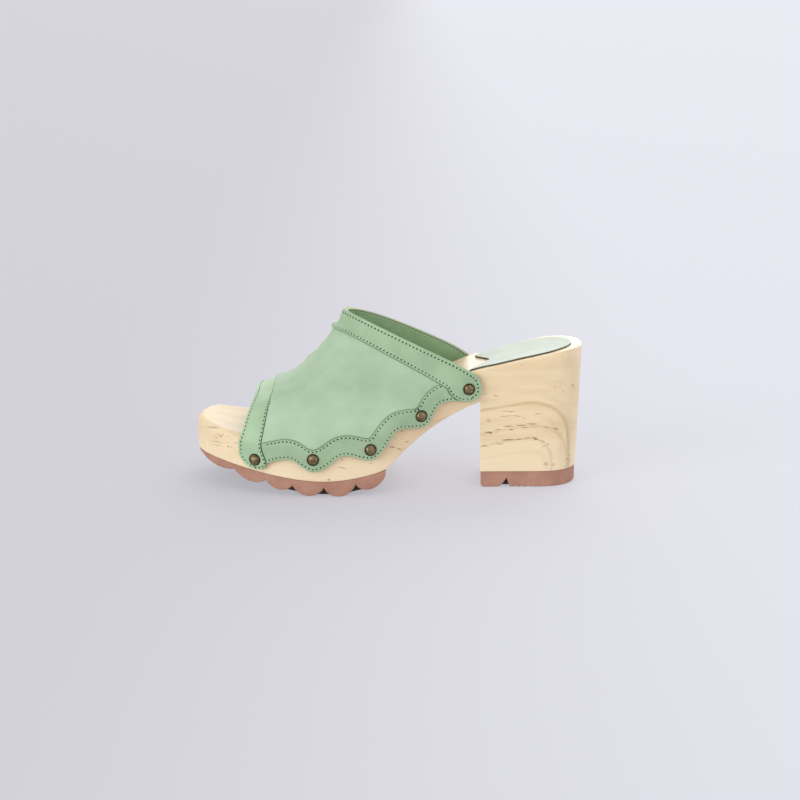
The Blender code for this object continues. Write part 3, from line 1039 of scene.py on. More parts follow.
    def turn_breast(self, points: np.ndarray) -> np.ndarray:
        """Turn the front of the heel so that its inner end lies a little further back.

        Args:
            points: Points of the sole.

        Returns:
            The points, moved along the shoe near the front of the heel.
        """
        near = ease(1 - np.abs(points[:, 0] - self.breast_x) / self.breast_reach)
        low = ease((self.footbed_z(points[:, 0]) - points[:, 2]) / self.breast_reach)
        moved = points.copy()
        moved[:, 0] += self.breast_turn * (points[:, 1] - self.breast_y) * near * low
        return moved

    def base_z(self, x: Number) -> np.ndarray:
        """Line on the side of the wood where the upper leaves it."""
        return self.footbed_z(x) - self.base_drop

    def hollow(self, x: Number) -> np.ndarray:
        """Depth of the cupped footbed at its middle."""
        share = np.minimum((x - self.toe_x) / self.cup_toe_run, (self.heel_x - x) / self.cup_heel_run)
        return self.footbed_cup * np.clip(share, 0.0, 1.0)

    def footbed_height(self, x: Number, y: Number) -> np.ndarray:
        """Cupped top of the wood.

        Args:
            x: Places along the shoe.
            y: Places across the shoe.

        Returns:
            z of the footbed.
        """
        outer = self.edge(x, Side.LATERAL) + self.roll_at(x)
        inner = self.edge(x, Side.MEDIAL) - self.roll_at(x)
        across = (2 * y - outer - inner) / (inner - outer)
        return self.footbed_z(x) - self.hollow(x) * (1 - np.minimum(1.0, across * across))

    def section(self, base_x: Number, angle: Number, side: Side) -> np.ndarray:
        """Inner face of the upper on a section of the fan.

        Args:
            base_x: Where the section starts on the footbed edge.
            angle: 0 at the base and a right angle at the ridge.
            side: Side of the shoe.

        Returns:
            Points, last axis x, y, z.
        """
        base_x, angle = np.broadcast_arrays(np.asarray(base_x, dtype=float), np.asarray(angle, dtype=float))
        rise = np.sin(angle) ** self.peak(base_x)
        foot_y = self.edge(base_x, side) + side.value * self.gap
        foot_z = self.base_z(base_x)
        pull = self.pull_at(base_x) * np.sin(angle) ** self.pull_power
        full = self.swell_at(base_x) * np.sin(2 * angle) if side is Side.MEDIAL else 0.0
        return np.stack((
            base_x + (self.ridge_x(base_x) - base_x) * rise - pull,
            self.ridge_y + (foot_y - self.ridge_y) * np.cos(angle) + full,
            foot_z + (self.ridge_z(base_x) - foot_z) * rise + full * self.swell_rise,
        ), axis=-1)

    def seen(self, x: Number, z: Number, side: Side) -> np.ndarray:
        """Inner face of the upper at places seen from the side.

        Args:
            x: Places along the shoe.
            z: Heights.
            side: Side of the shoe.

        Returns:
            Points, last axis x, y, z.
        """
        x, z = np.broadcast_arrays(np.asarray(x, dtype=float), np.asarray(z, dtype=float))
        inset = self.draft(x) * (self.footbed_z(x) - z)
        wall = np.stack((x, self.edge(x, side) + side.value * (self.gap - inset), z), axis=-1)
        low = x - self.search_back
        high = x + self.search_ahead
        for _ in range(self.search_steps):
            base_x = (low + high) / 2
            foot_z = self.base_z(base_x)
            rise = np.clip((z - foot_z) / (self.ridge_z(base_x) - foot_z), 0.0, 1.0)
            before = base_x + (self.ridge_x(base_x) - base_x) * rise < x
            low = np.where(before, base_x, low)
            high = np.where(before, high, base_x)
        angle = np.arcsin(rise ** (1 / self.peak(base_x)))
        above = self.section(base_x, angle, side)
        return np.where((z <= self.base_z(x))[..., None], wall, above)


@dataclass(frozen=True)
class SheetFaces:
    """Numbers of the finishes of a sheet.

    A lip is how many strips of the face take that edge's finish, and the rim is the finishes of the strips of
    the lining along the last row, from the edge inwards. Dark lips along seams are partly edge paint and
    partly painted seam shade, and a dark rim strip is painted shade.
    """

    outer: int = Dye.FACE
    inner: int = Dye.LINING
    first_row: int = Dye.EDGE
    last_row: int = Dye.EDGE
    first_column: int = Dye.EDGE
    last_column: int = Dye.EDGE
    first_row_lip: int = 0
    last_row_lip: int = 0
    first_column_lip: int = 0
    last_column_lip: int = 0
    rim: Sequence[int] = ()

    def strips(self, shape: tuple[int, int]) -> np.ndarray:
        """Finish of every face of the outer grid.

        Args:
            shape: Faces along the rows and along the columns.

        Returns:
            Numbers of the finishes in that shape.
        """
        numbers = np.full(shape, self.outer)
        numbers[:, :self.first_column_lip] = self.first_column
        numbers[:, shape[1] - self.last_column_lip:] = self.last_column
        numbers[:self.first_row_lip] = self.first_row
        numbers[shape[0] - self.last_row_lip:] = self.last_row
        return numbers


@dataclass
class LeatherSheet:
    """Sheet of leather laid on a grid of points of the last."""

    grid: np.ndarray
    lift: Number
    wall: np.ndarray

    def __post_init__(self) -> None:
        """Work out which way the sheet faces and its two surfaces."""
        along = np.gradient(self.grid, axis=0)
        across = np.gradient(self.grid, axis=1)
        self.normals = unit(np.cross(along, across))
        low = np.broadcast_to(np.asarray(self.lift, dtype=float), self.grid.shape[:2])
        self.inner = self.grid + self.normals * low[..., None]
        self.outer = self.grid + self.normals * (low + self.wall)[..., None]

    @staticmethod
    def rim(rows: np.ndarray) -> np.ndarray:
        """Points round the edge of a grid, closed."""
        return np.concatenate((rows[0, :-1], rows[:-1, -1], rows[-1, :0:-1], rows[::-1, 0]))

    def lay(self, faces: SheetFaces) -> Draft:
        """Lay the sheet out in points and faces.

        Args:
            faces: Finishes of its faces and edges.

        Returns:
            Draft of the sheet.
        """
        draft = Draft()
        outer = draft.add_points(self.outer)
        inner = draft.add_points(self.inner)
        strip = outer.shape[1] - 1
        draft.add_quads(outer, faces.outer)
        draft.numbers = faces.strips((outer.shape[0] - 1, strip)).ravel().tolist()
        draft.add_quads(inner, faces.inner, flip=True)
        for k, finish in enumerate(faces.rim):
            stop = len(draft.numbers) - k * strip
            draft.numbers[stop - strip:stop] = [finish] * strip
        draft.add_quads(np.stack((outer[0], inner[0])), faces.first_row, flip=True)
        draft.add_quads(np.stack((outer[-1], inner[-1])), faces.last_row)
        draft.add_quads(np.stack((outer[:, 0], inner[:, 0])), faces.first_column)
        draft.add_quads(np.stack((outer[:, -1], inner[:, -1])), faces.last_column, flip=True)
        return draft

    def skin(self) -> BVHTree:
        """Search tree of the outer face."""
        rows = np.arange(self.outer.shape[0] * self.outer.shape[1]).reshape(self.outer.shape[:2])
        return BVHTree.FromPolygons(self.outer.reshape(-1, 3).tolist(), quads(rows))


@dataclass
class Loft:
    """Solid along stations of the sole, with the same levels on both sides."""

    form: ShoeForm
    stations: np.ndarray
    inset: np.ndarray
    height: np.ndarray
    columns: int = 14
    cup: bool = False
    core: Optional[np.ndarray] = None
    core_reach: float = 4.0
    # Finish of the underside faces; for the treads it is dark rubber that paints the shade under the sole
    under: int = 0

    def lay(self) -> Draft:
        """Lay the solid out in points and faces.

        Returns:
            Draft of the solid.
        """
        draft = Draft()
        points, normals = self.form.outline(self.stations)
        walls = {}
        for side in Side:
            plan = points[side][None] - normals[side][None] * self.inset[..., None]
            walls[side] = np.concatenate((plan, self.height[..., None]), axis=2)
        share = spread(0.0, 1.0, self.columns + 2)[1:-1]
        outer, inner = walls[Side.LATERAL], walls[Side.MEDIAL]
        floor = outer[-1][None] + (inner[-1] - outer[-1])[None] * share[:, None, None]
        top = inner[0][None] + (outer[0] - inner[0])[None] * share[:, None, None]
        if self.cup:
            top[..., 2] -= self.form.hollow(self.stations)[None] * (1 - (2 * share - 1) ** 2)[:, None]
        if self.core is not None:
            width = inner[-1][:, 1] - outer[-1][:, 1]
            depth = np.minimum(share, 1 - share)[:, None] * width
            floor[..., 2] += (self.core - floor[..., 2]) * ease(depth / self.core_reach)
        rings = np.concatenate((outer, floor, inner[::-1], top)).transpose(1, 0, 2)
        numbers = draft.add_points(rings)
        draft.add_quads(numbers, 0, wrap=True)
        finishes = np.zeros((len(numbers) - 1, numbers.shape[1]), dtype=int)
        finishes[:, len(outer):len(outer) + self.columns - 1] = self.under
        draft.numbers = finishes.ravel().tolist()
        for ring in (numbers[0], numbers[-1]):
            self._close(draft, ring, len(outer))
        return draft

    def _close(self, draft: Draft, ring: np.ndarray, rows: int) -> None:
        """Close one end of the solid with strips from side to side.

        Args:
            draft: Draft that takes the strips.
            ring: Numbers of the last ring's points.
            rows: Levels on each side.
        """
        outer = ring[:rows]
        floor = ring[rows:rows + self.columns]
        inner = ring[rows + self.columns:2 * rows + self.columns][::-1]
        top = ring[2 * rows + self.columns:]
        draft.add_face([*outer[:1], *top[::-1], *inner[:2], *outer[1:2]], 0)
        for k in range(1, rows - 2):
            draft.add_face((outer[k], inner[k], inner[k + 1], outer[k + 1]), 0)
        draft.add_face([outer[-2], inner[-2], inner[-1], *floor[::-1], outer[-1]], 0)


@dataclass
class WoodSole:
    """Carved wooden sole: platform with toe spring, arch, block heel and rolled footbed edge."""

    form: ShoeForm
    heel_z: float = 9.7
    arch_start: tuple[float, float] = (113.4, 11.9)
    arch_end_z: float = 53.8
    arch_rise: float = 5.0
    arch_corner: float = 1.6
    foot_roll: float = 0.7
    end_reach: float = 40.0
    end_turn: float = 0.05
    breast_gap: float = 0.01

    def arch_z(self, x: np.ndarray) -> np.ndarray:
        """Underside of the wood.

        Args:
            x: Places along the shoe.

        Returns:
            z of the underside, with the arch in front of the heel.
        """
        start = np.array(self.arch_start)
        chord = np.array((self.form.breast_x, self.arch_end_z)) - start
        rise = np.array((-chord[1], chord[0])) / np.linalg.norm(chord) * self.arch_rise
        shares = np.linspace(0.0, 1.0, 121)[:, None]
        bow = start + chord * shares + rise * 4 * shares * (1 - shares)
        far_below = -1e4
        cut = np.interp(x, bow[:, 0], bow[:, 1], left=far_below)
        flat = self.form.underside_z(x)
        block = (flat + cut + np.sqrt((flat - cut) ** 2 + self.arch_corner ** 2)) / 2
        return np.where(x > self.form.breast_x, self.heel_z, block)

    def stations(self) -> np.ndarray:
        """Places along the sole, close together at the ends and on both sides of the breast.

        Returns:
            x of the places, toe to heel.
        """
        form = self.form
        turn = quarter(46, self.end_turn)
        front = form.toe_x + self.end_reach * (1 - np.cos(turn))
        back = form.heel_x - self.end_reach * (1 - np.cos(turn[::-1]))
        arch = np.linspace(front[-1], form.breast_x - self.breast_gap, 90)[1:]
        heel = np.linspace(form.breast_x + self.breast_gap, back[0], 18)[:-1]
        return np.concatenate((front, arch, heel, back))

    def build(self, wood: Material) -> None:
        """Make the sole.

        Args:
            wood: Finish of the wood.
        """
        x = self.stations()
        top = self.form.footbed_z(x)
        roll = self.form.roll_at(x)
        slope = self.form.draft(x)
        foot = self.arch_z(x)
        insets = []
        heights = []
        for turn in quarter(8):
            insets.append(roll * (1 - math.sin(turn)) + slope * roll * (1 - math.cos(turn)))
            heights.append(top - roll * (1 - math.cos(turn)))
        start = top - roll
        end = foot + self.foot_roll
        for share in np.linspace(0.0, 1.0, 15)[1:]:
            heights.append(start + (end - start) * share)
            insets.append(slope * (top - heights[-1]))
        for turn in quarter(4)[1:]:
            heights.append(foot + self.foot_roll * (1 - math.sin(turn)))
            insets.append(slope * (top - heights[-1]) + self.foot_roll * (1 - math.cos(turn)))
        draft = Loft(self.form, x, np.array(insets), np.array(heights), cup=True).lay()
        draft.points = [self.form.turn_breast(points) for points in draft.points]
        draft.make("carved_wood_sole", [wood], Slot.WOOD, ["wood_sole"])


@dataclass
class Treads:
    """Rubber treads: scalloped forefoot outsole and notched heel lift."""

    form: ShoeForm
    inset: float = 0.2
    seam: float = 0.08
    edge_roll: float = 0.9
    edge_share: float = 0.4
    top_roll: float = 0.3
    top_inset: float = 0.35
    core_rise: float = 0.3
    core_from: int = 2
    heel_top: float = 9.7
    lift_front_x: float = 172.9
    lift_corner: float = 2.4
    lift_flat: Run = (177.0, 203.8)
    lift_end_reach: float = 30.0
    lift_end_turn: float = 0.05
    notch_x: float = 188.8
    notch_z: float = 5.6
    notch_power: float = 1.6
    notch_front: float = 5.5
    notch_rear: float = 2.4
    nick_height: float = 1.0
    nick_width: float = 0.8
    nicks: Sequence[float] = (194.2, 197.8, 202.0)
    # Forefoot lugs: x and z of the notch in front, drop of the lug below the line to the next notch
    lugs: Table = (
        (0.6, 18.2, 2.7),
        (23.6, 13.3, 3.9),
        (43.4, 9.0, 4.1),
        (59.6, 6.6, 5.7),
        (78.7, 5.7, 6.6),
        (97.7, 7.5, 5.7),
        (115.4, 11.6, 0.0),
    )

    def lug_z(self, x: np.ndarray) -> np.ndarray:
        """Underside of the lugs: an arc from notch to notch, flat on the floor.

        Args:
            x: Places along the shoe.

        Returns:
            z of the underside.
        """
        rows = np.array(self.lugs)
        i = np.clip(np.searchsorted(rows[:, 0], x) - 1, 0, len(rows) - 2)
        width = rows[i + 1, 0] - rows[i, 0]
        share = np.clip((x - rows[i, 0]) / width, 0.0, 1.0)
        line = rows[i, 1] + (rows[i + 1, 1] - rows[i, 1]) * share
        drop = rows[i, 2]
        radius = (width * width / 4 + drop * drop) / (2 * drop)
        arc = np.sqrt(radius * radius - ((share - 0.5) * width) ** 2) - radius + drop
        return np.maximum(line - arc, 0.0)

    def core_z(self, x: np.ndarray) -> np.ndarray:
        """Underside of the forefoot tread in the middle of the sole, where the lugs run together.

        Args:
            x: Places along the shoe.

        Returns:
            z of the underside.
        """
        rows = np.array(self.lugs)
        crests = (rows[:-1, 0] + rows[1:, 0]) / 2
        core = np.interp(x, crests, (rows[:-1, 1] + rows[1:, 1]) / 2 - rows[:-1, 2] + self.core_rise)
        return np.where((x > crests[self.core_from]) & (x < crests[-1]), core, self.lug_z(x))

    def lift_z(self, x: np.ndarray) -> np.ndarray:
        """Underside of the heel lift: flat, with a rounded front corner, one cusped notch and small nicks.

        Args:
            x: Places along the shoe.

        Returns:
            z of the underside.
        """
        corner = np.clip(1 - (x - self.lift_front_x) / self.lift_corner, 0.0, 1.0)
        z = self.lift_corner * (1 - np.sqrt(1 - corner * corner))
        width = np.where(x < self.notch_x, self.notch_front, self.notch_rear)
        share = np.clip(1 - np.abs(x - self.notch_x) / width, 0.0, 1.0)
        z = np.maximum(z, self.notch_z * share ** self.notch_power)
        for nick in self.nicks:
            z = np.maximum(z, self.nick_height * (1 - np.abs(x - nick) / self.nick_width))
        return z

    def _levels(self, top: np.ndarray, foot: np.ndarray, lean: np.ndarray) -> tuple[np.ndarray, np.ndarray]:
        """Levels of a tread from its top edge to its underside.

        Args:
            top: z of the top at each station.
            foot: z of the underside at each station.
            lean: Inset of the wall at the top at each station.

        Returns:
            Insets and heights, one row for each level.
        """
        soft = np.minimum(self.edge_roll, (top - foot) * self.edge_share)
        insets = [lean + self.top_inset, lean]
        heights = [top, top - self.top_roll]
        for share in np.linspace(0.0, 1.0, 6)[1:]:
            heights.append(top - self.top_roll + (foot + soft - top + self.top_roll) * share)
            insets.append(lean)
        for turn in quarter(5)[1:]:
            heights.append(foot + soft * (1 - math.sin(turn)))
            insets.append(lean + soft * (1 - math.cos(turn)))
        return np.array(insets), np.array(heights)

    def build_outsole(self, finishes: Finishes) -> None:
        """Make the forefoot outsole.

        Args:
            finishes: Finishes of its walls and of its underside, whose dark rubber paints the shade under the
                tread.
        """
        places = [row[0] for row in self.lugs]
        runs = [spread(start, end, 25)[:-1] for start, end in zip(places, places[1:])]
        x = np.concatenate((*runs, places[-1:]))
        top = self.form.underside_z(x) - self.seam
        insets, heights = self._levels(top, self.lug_z(x), np.full_like(x, self.inset))
        # The core closes the notches from behind; its dark underside finish paints the shade in them
        draft = Loft(self.form, x, insets, heights, core=self.core_z(x), under=1).lay()
        draft.make("lugged_forefoot_outsole", finishes, Slot.RUBBER, ["forefoot_outsole"])

    def build_lift(self, finishes: Finishes) -> None:
        """Make the heel lift.

        Args:
            finishes: Finishes of its walls and of its underside, whose dark rubber paints the shade under the
                lift.
        """
        turn = quarter(36, self.lift_end_turn)
        back = self.form.heel_x - self.lift_end_reach * (1 - np.cos(turn[::-1]))
        flat_start, flat_end = self.lift_flat
        x = np.concatenate((
            self.lift_front_x + self.lift_corner * (1 - np.cos(quarter(9))),
            np.linspace(flat_start, self.notch_x - self.notch_front, 6),
            self.notch_x - self.notch_front * np.linspace(0.95, 0.0, 16),
            self.notch_x + self.notch_rear * np.linspace(0.1, 1.0, 10),
            *[nick + self.nick_width * np.array((-1.0, 0.0, 1.0)) for nick in self.nicks],
            np.linspace(flat_end, back[0], 4)[:-1],
            back,
        ))
        top = np.full_like(x, self.heel_top - self.seam)
        lean = self.form.draft(x) * (self.form.footbed_z(x) - self.heel_top / 2) + self.inset
        insets, heights = self._levels(top, self.lift_z(x), lean)
        # The dark underside finish paints the shade under the lift
        draft = Loft(self.form, x, insets, heights, core=np.full_like(x, self.core_rise), under=1).lay()
        draft.points = [self.form.turn_breast(points) for points in draft.points]
        draft.make("notched_heel_lift", finishes, Slot.RUBBER, ["heel_lift"])


@dataclass
class HeelSock:
    """Pale leather sock on the heel seat, swallow-tailed at the front and round at the back."""

    form: ShoeForm
    lift: float = 0.15
    wall: float = 1.1
    edge_roll: float = 0.35
    margin: float = 5.4
    back_margin: float = 6.8
    # Swallow-tailed front: share of the half width from the outer to the inner side, x
    tails: Table = ((-1.0, 166.0), (-0.17, 179.1), (0.72, 170.3), (1.0, 174.5))

    def build(self, leather: Material, edge: Material) -> None:
        """Make the sock.

        Args:
            leather: Finish of its face.
            edge: Finish of its cut edge.
        """
        form = self.form
        turn = np.linspace(-1.0, 1.0, 61)
        across = np.sin(turn * math.pi / 2)
        reach = form.heel_round * (1 - (1 - np.abs(across) ** form.heel_power) ** (1 / form.heel_power))
        front = np.interp(across, [tail[0] for tail in self.tails], [tail[1] for tail in self.tails])
        share = spread(0.0, 1.0, 61)[:, None]
        x = front + (form.heel_x - self.back_margin - reach - front) * share
        outer = -form.plan_edge[Side.LATERAL](x) - self.margin
        inner = form.plan_edge[Side.MEDIAL](x) - self.margin
        y = across * np.where(across < 0, outer, inner)
        grid = np.stack((x, y, form.footbed_height(x, y)), axis=-1)
        near = distance_to_line(grid, LeatherSheet.rim(grid))
        sheet = LeatherSheet(grid, self.lift, self.wall - rolled(near, self.edge_roll))
        draft = sheet.lay(SheetFaces(inner=0, first_row=1, last_row=1, first_column=1, last_column=1))
        draft.make("heel_seat_sock", [leather, edge], Slot.SOCK, ["heel_sock"])


@dataclass
class Overlay:
    """Strip of smooth leather sewn over the vamp."""

    form: ShoeForm
    lift: float = 1.62
    wall: float = 1.5
    edge_roll: float = 0.5
    thin_edge: float = 0.06
    skive_reach: float = 2.4
    stitch_in: float = 1.6
    groove: float = 0.2
    groove_width: float = 0.55

    def thickness(self, grid: np.ndarray) -> np.ndarray:
        """Wall of the strip: rounded at its rim, pressed in along the stitches.

        Args:
            grid: Points of the last under the strip.

        Returns:
            Wall at each point.
        """
        near = distance_to_line(grid, LeatherSheet.rim(grid))
        pressed = self.groove * np.exp(-((near - self.stitch_in) / self.groove_width) ** 2)
        return self.wall - rolled(near, self.edge_roll) - pressed

    def skived(self, grid: np.ndarray, seam: np.ndarray) -> np.ndarray:
        """Depth pared away underneath towards the seam, the edge that lies on the full vamp."""
        return self.form.vamp_puff * (1 - ease(distance_to_line(grid, seam) / self.skive_reach))


@dataclass
class Band(Overlay):
    """Leather band over the vamp with a rounded end on each side."""

    name: str = "toe_band"
    front_x: float = 29.0
    rear_x: float = 42.3
    inner_bow: float = -0.8
    seam: Edge = Edge.REAR
    ridge_extra: float = 4.9
    ridge_round: float = 0.86
    outer_power: float = 1.15
    inner_power: float = 2.35
    # Rise at the ridge from the front edge to the rear edge: share of the width, rise
    ridge_rise: Table = ((0, -0.9), (0.4, -1.9), (1, -2.7))
    rise_from: float = 0.5
    rise_to: float = 1.2
    front_in: float = 1.7
    rear_in: float = 1.15
    # The rear lip is partly edge paint, partly painted shade of the seam
    faces: SheetFaces = SheetFaces(
        first_row=Dye.SOFT, first_column=Dye.SOFT, last_column=Dye.SOFT, last_row_lip=3
    )
    blend_angle: float = 0.34
    outline_columns: int = 70
    # Rounded end: drop below the base line, front x, rear x
    end: Table = (
        (0, 29.0, 42.3), (4, 28.8, 43.0), (7, 28.9, 44.1), (9.5, 29.4, 45.0), (12, 30.9, 45.2),
        (14, 33.2, 43.6), (15.3, 36.0, 40.9), (15.7, 37.6, 39.2),
    )

    def press(self, angle: Number, base_x: Number) -> np.ndarray:
        """How far the band stands off its even lift towards the ridge.

        Args:
            angle: Angle on the section.
            base_x: Where the section starts.

        Returns:
            Distance off the even lift.
        """
        front, rear = self.front_at(angle), self.rear_at(angle)
        share = np.clip((base_x - front) / (rear - front), 0.0, 1.0)
        near = ease((np.asarray(angle) - self.rise_from) / (self.rise_to - self.rise_from))
        return Curve(self.ridge_rise)(share) * near

    def front_at(self, angle: Number, side: Side = Side.LATERAL) -> np.ndarray:
        """Front edge of the band along the fan.

        Args:
            angle: Angle on the section.
            side: Side of the shoe.

        Returns:
            Base x of the edge.
        """
        angle = np.asarray(angle, dtype=float)
        near = side is Side.LATERAL
        share = angle * 2 / math.pi
        share = share - np.maximum(share - self.ridge_round, 0.0) ** 2 / (2 * (1 - self.ridge_round))
        reach = self.ridge_extra * share ** (self.outer_power if near else self.inner_power)
        full = self.front_x - reach - (0.0 if near else self.inner_bow) * np.sin(2 * angle) ** 2
        return self.end[0][1] + (full - self.end[0][1]) * ease(angle / self.blend_angle)

    def rear_at(self, angle: Number) -> np.ndarray:
        """Rear edge of the band along the fan."""
        return self.end[0][2] + (self.rear_x - self.end[0][2]) * ease(np.asarray(angle) / self.blend_angle)

    def grid(self) -> tuple[np.ndarray, np.ndarray, np.ndarray]:
        """Points of the last under the band.

        Returns:
            Points, front to rear and outer end to inner end, and the base x and angle of each.
        """
        share = spread(0.0, 1.0, 27)[:, None]
        low = self.end[-1][0]
        drops = low * np.sin(np.linspace(math.pi / 2, 0.0, 26))[:-1]
        angles = quarter(90)
        front, rear = (Curve(self.end, index)(drops) for index in (1, 2))
        x = front + (rear - front) * share
        half = np.concatenate((np.zeros(len(drops)), angles))
        points = {}
        bases = {}
        for side in Side:
            foot = self.form.seen(x, self.form.base_z(x) - drops, side)
            front = self.front_at(half, side)
            bases[side] = front + (self.rear_at(half) - front) * share
            above = self.form.section(bases[side][:, len(drops):], angles, side)
            points[side] = np.concatenate((foot, above), axis=1)
        return join_sides(points), join_sides(bases), there_and_back(half)

    def side_outline(self) -> np.ndarray:
        """Low part of the band as an outline seen from the side."""
        points = self.grid()[0][:, :self.outline_columns] * SIDE_VIEW
        return np.concatenate((points[0], points[-1, ::-1]))

    def build(self, finishes: Finishes, vamp: LeatherSheet) -> LeatherSheet:
        """Make the band.

        Args:
            finishes: Finishes of its outer face, its inner face and its edges.
            vamp: Sheet of the vamp, under which the rear edge may dip.

        Returns:
            The sheet, for the stitches.
        """
        grid, base_x, angle = self.grid()
        pared = self.skived(grid, grid[self.seam.value])
        wall = np.maximum(self.thickness(grid) - pared, self.thin_edge)
        sheet = LeatherSheet(grid, self.lift + self.press(angle, base_x) + pared, wall)
        draft = sheet.lay(self.faces)
        # Painted shade along the seam where the rear edge dips under the vamp
        if self.seam is Edge.REAR:
            self._shade_seam(draft, sheet, vamp)
        draft.make(f"stitched_{self.name}", finishes, Slot.LEATHER, [self.name])
        return sheet

    def _shade_seam(self, draft: Draft, sheet: LeatherSheet, vamp: LeatherSheet) -> None:
        """Paint shade on the last strip that shows where the rear edge dips under the vamp, in the finish of
        that edge.

        Args:
            draft: Draft of the band.
            sheet: Sheet of the band.
            vamp: Sheet of the vamp.
        """
        skin = vamp.skin()
        rows, columns = sheet.outer.shape[:2]
        for column in range(columns - 1):
            for row in range(rows - 2, rows // 2, -1):
                spot = Vector(sheet.outer[row, column])
                near, facing, _, _ = skin.find_nearest(spot)
                if (spot - near).dot(facing) > 0.0:
                    draft.numbers[row * (columns - 1) + column] = self.faces.last_row
                    break


@dataclass
class Rand(Overlay):
    """Scalloped leather rand along one side, thinned where it runs under the bands."""

    side: Side = Side.LATERAL
    thin_wall: float = 0.3
    thin_run: float = 1.0
    stations: int = 260
    # Rand seen from the side: lower x, lower z, upper x, upper z
    rows: Table = (
        (41.0, 19.6, 39.5, 31.7), (45.9, 20.4, 43.7, 32.7), (50, 22.0, 49, 34.1), (57, 23.4, 56, 35.5),
        (61, 22.6, 62, 35.0), (66, 19.2, 67, 32.7), (70.6, 16.5, 70, 30.6), (73.5, 16.2, 73, 30.0),
        (78, 17.7, 77, 31.7), (83, 21.3, 82, 35.0), (87, 24.7, 87, 37.2), (91, 26.0, 92.5, 37.8),
        (95, 25.5, 98, 37.1), (100, 23.8, 102.5, 36.2), (105, 22.8, 105.7, 36.3),
        (108.6, 23.4, 107.9, 38.7), (111.8, 26.3, 110.5, 42.0), (116.1, 32.0, 114.5, 46.4),
        (119.5, 37.7, 119.5, 49.6), (122.9, 40.2, 126, 51.2), (129, 40.6, 131.7, 51.8),
        (135.7, 40.4, 134.1, 53.1), (139.5, 42.1, 136, 56.0), (142.3, 46.0, 138.5, 59.4),
        (145.2, 51.7, 141.5, 62.1), (149.4, 55.1, 144, 63.9), (159, 56.0, 147.5, 65.4),
        (166, 57.6, 152, 68.0),
    )

    def outline(self, count: int) -> np.ndarray:
        """Lower and upper edge of the rand.

        Args:
            count: Places along the rand.

        Returns:
            Rows of lower x, lower z, upper x and upper z.
        """
        numbered = [(number, *row) for number, row in enumerate(self.rows)]
        place = np.linspace(0.0, len(self.rows) - 1, count)
        return np.stack([Curve(numbered, index)(place) for index in (1, 2, 3, 4)], axis=1)

    def top_z(self, x: np.ndarray) -> np.ndarray:
        """Upper edge of the rand as a height along the shoe."""
        edge = self.outline(400)
        return np.interp(x, edge[:, 2], edge[:, 3], left=edge[0, 3])

    def top_line(self) -> np.ndarray:
        """Points of the last along the upper edge."""
        edge = self.outline(300)
        return self.form.seen(edge[:, 2], edge[:, 3], self.side)

    def grid(self) -> np.ndarray:
        """Points of the last under the rand.

        Returns:
            Points, toe to heel and from one long edge to the other.
        """
        edge = self.outline(self.stations)
        share = spread(0.0, 1.0, 25)[None]
        x = edge[:, :1] + (edge[:, 2:3] - edge[:, :1]) * share
        z = edge[:, 1:2] + (edge[:, 3:4] - edge[:, 1:2]) * share
        points = self.form.seen(x, z, self.side)
        return points if self.side is Side.LATERAL else points[:, ::-1]

    def shown(self, grid: np.ndarray, bands: Sequence[Band]) -> np.ndarray:
        """Share of the rand's wall that is left: all of it clear of the bands, none under them.

        Args:
            grid: Points of the last under the rand.
            bands: Toe band and collar band.

        Returns:
            Share at each point.
        """
        flat = grid * SIDE_VIEW
        share = np.ones(grid.shape[:2])
        for band in bands:
            outline = band.side_outline()
            off = distance_to_line(flat, outline) * np.where(inside_outline(flat, outline), -1, 1)
            share = np.minimum(share, ease(off / self.thin_run + 0.5))
        return share

    def build(self, finishes: Finishes, bands: Sequence[Band]) -> LeatherSheet:
        """Make the rand.

        Args:
            finishes: Finishes of its outer face, its inner face and its edges.
            bands: Toe band and collar band.

        Returns:
            The sheet, for the stitches.
        """
        grid = self.grid()
        shown = self.shown(grid, bands)
        pared = self.skived(grid, self.top_line()) * shown
        thick = np.maximum(self.thickness(grid) - pared, self.thin_edge)
        wall = self.thin_wall + (thick - self.thin_wall) * shown
        sheet = LeatherSheet(grid, self.lift + pared, wall)
        # The lip at the seam is partly edge paint, partly painted shade of the seam
        if self.side is Side.LATERAL:
            faces = SheetFaces(first_column=Dye.SOFT, last_column=Dye.SEAM, last_column_lip=3)
        else:
            faces = SheetFaces(first_column=Dye.SEAM, last_column=Dye.SOFT, first_column_lip=3)
        name = f"rand_{self.side.word}"
        sheet.lay(faces).make(f"scalloped_{name}", finishes, Slot.LEATHER, [name])
        return sheet


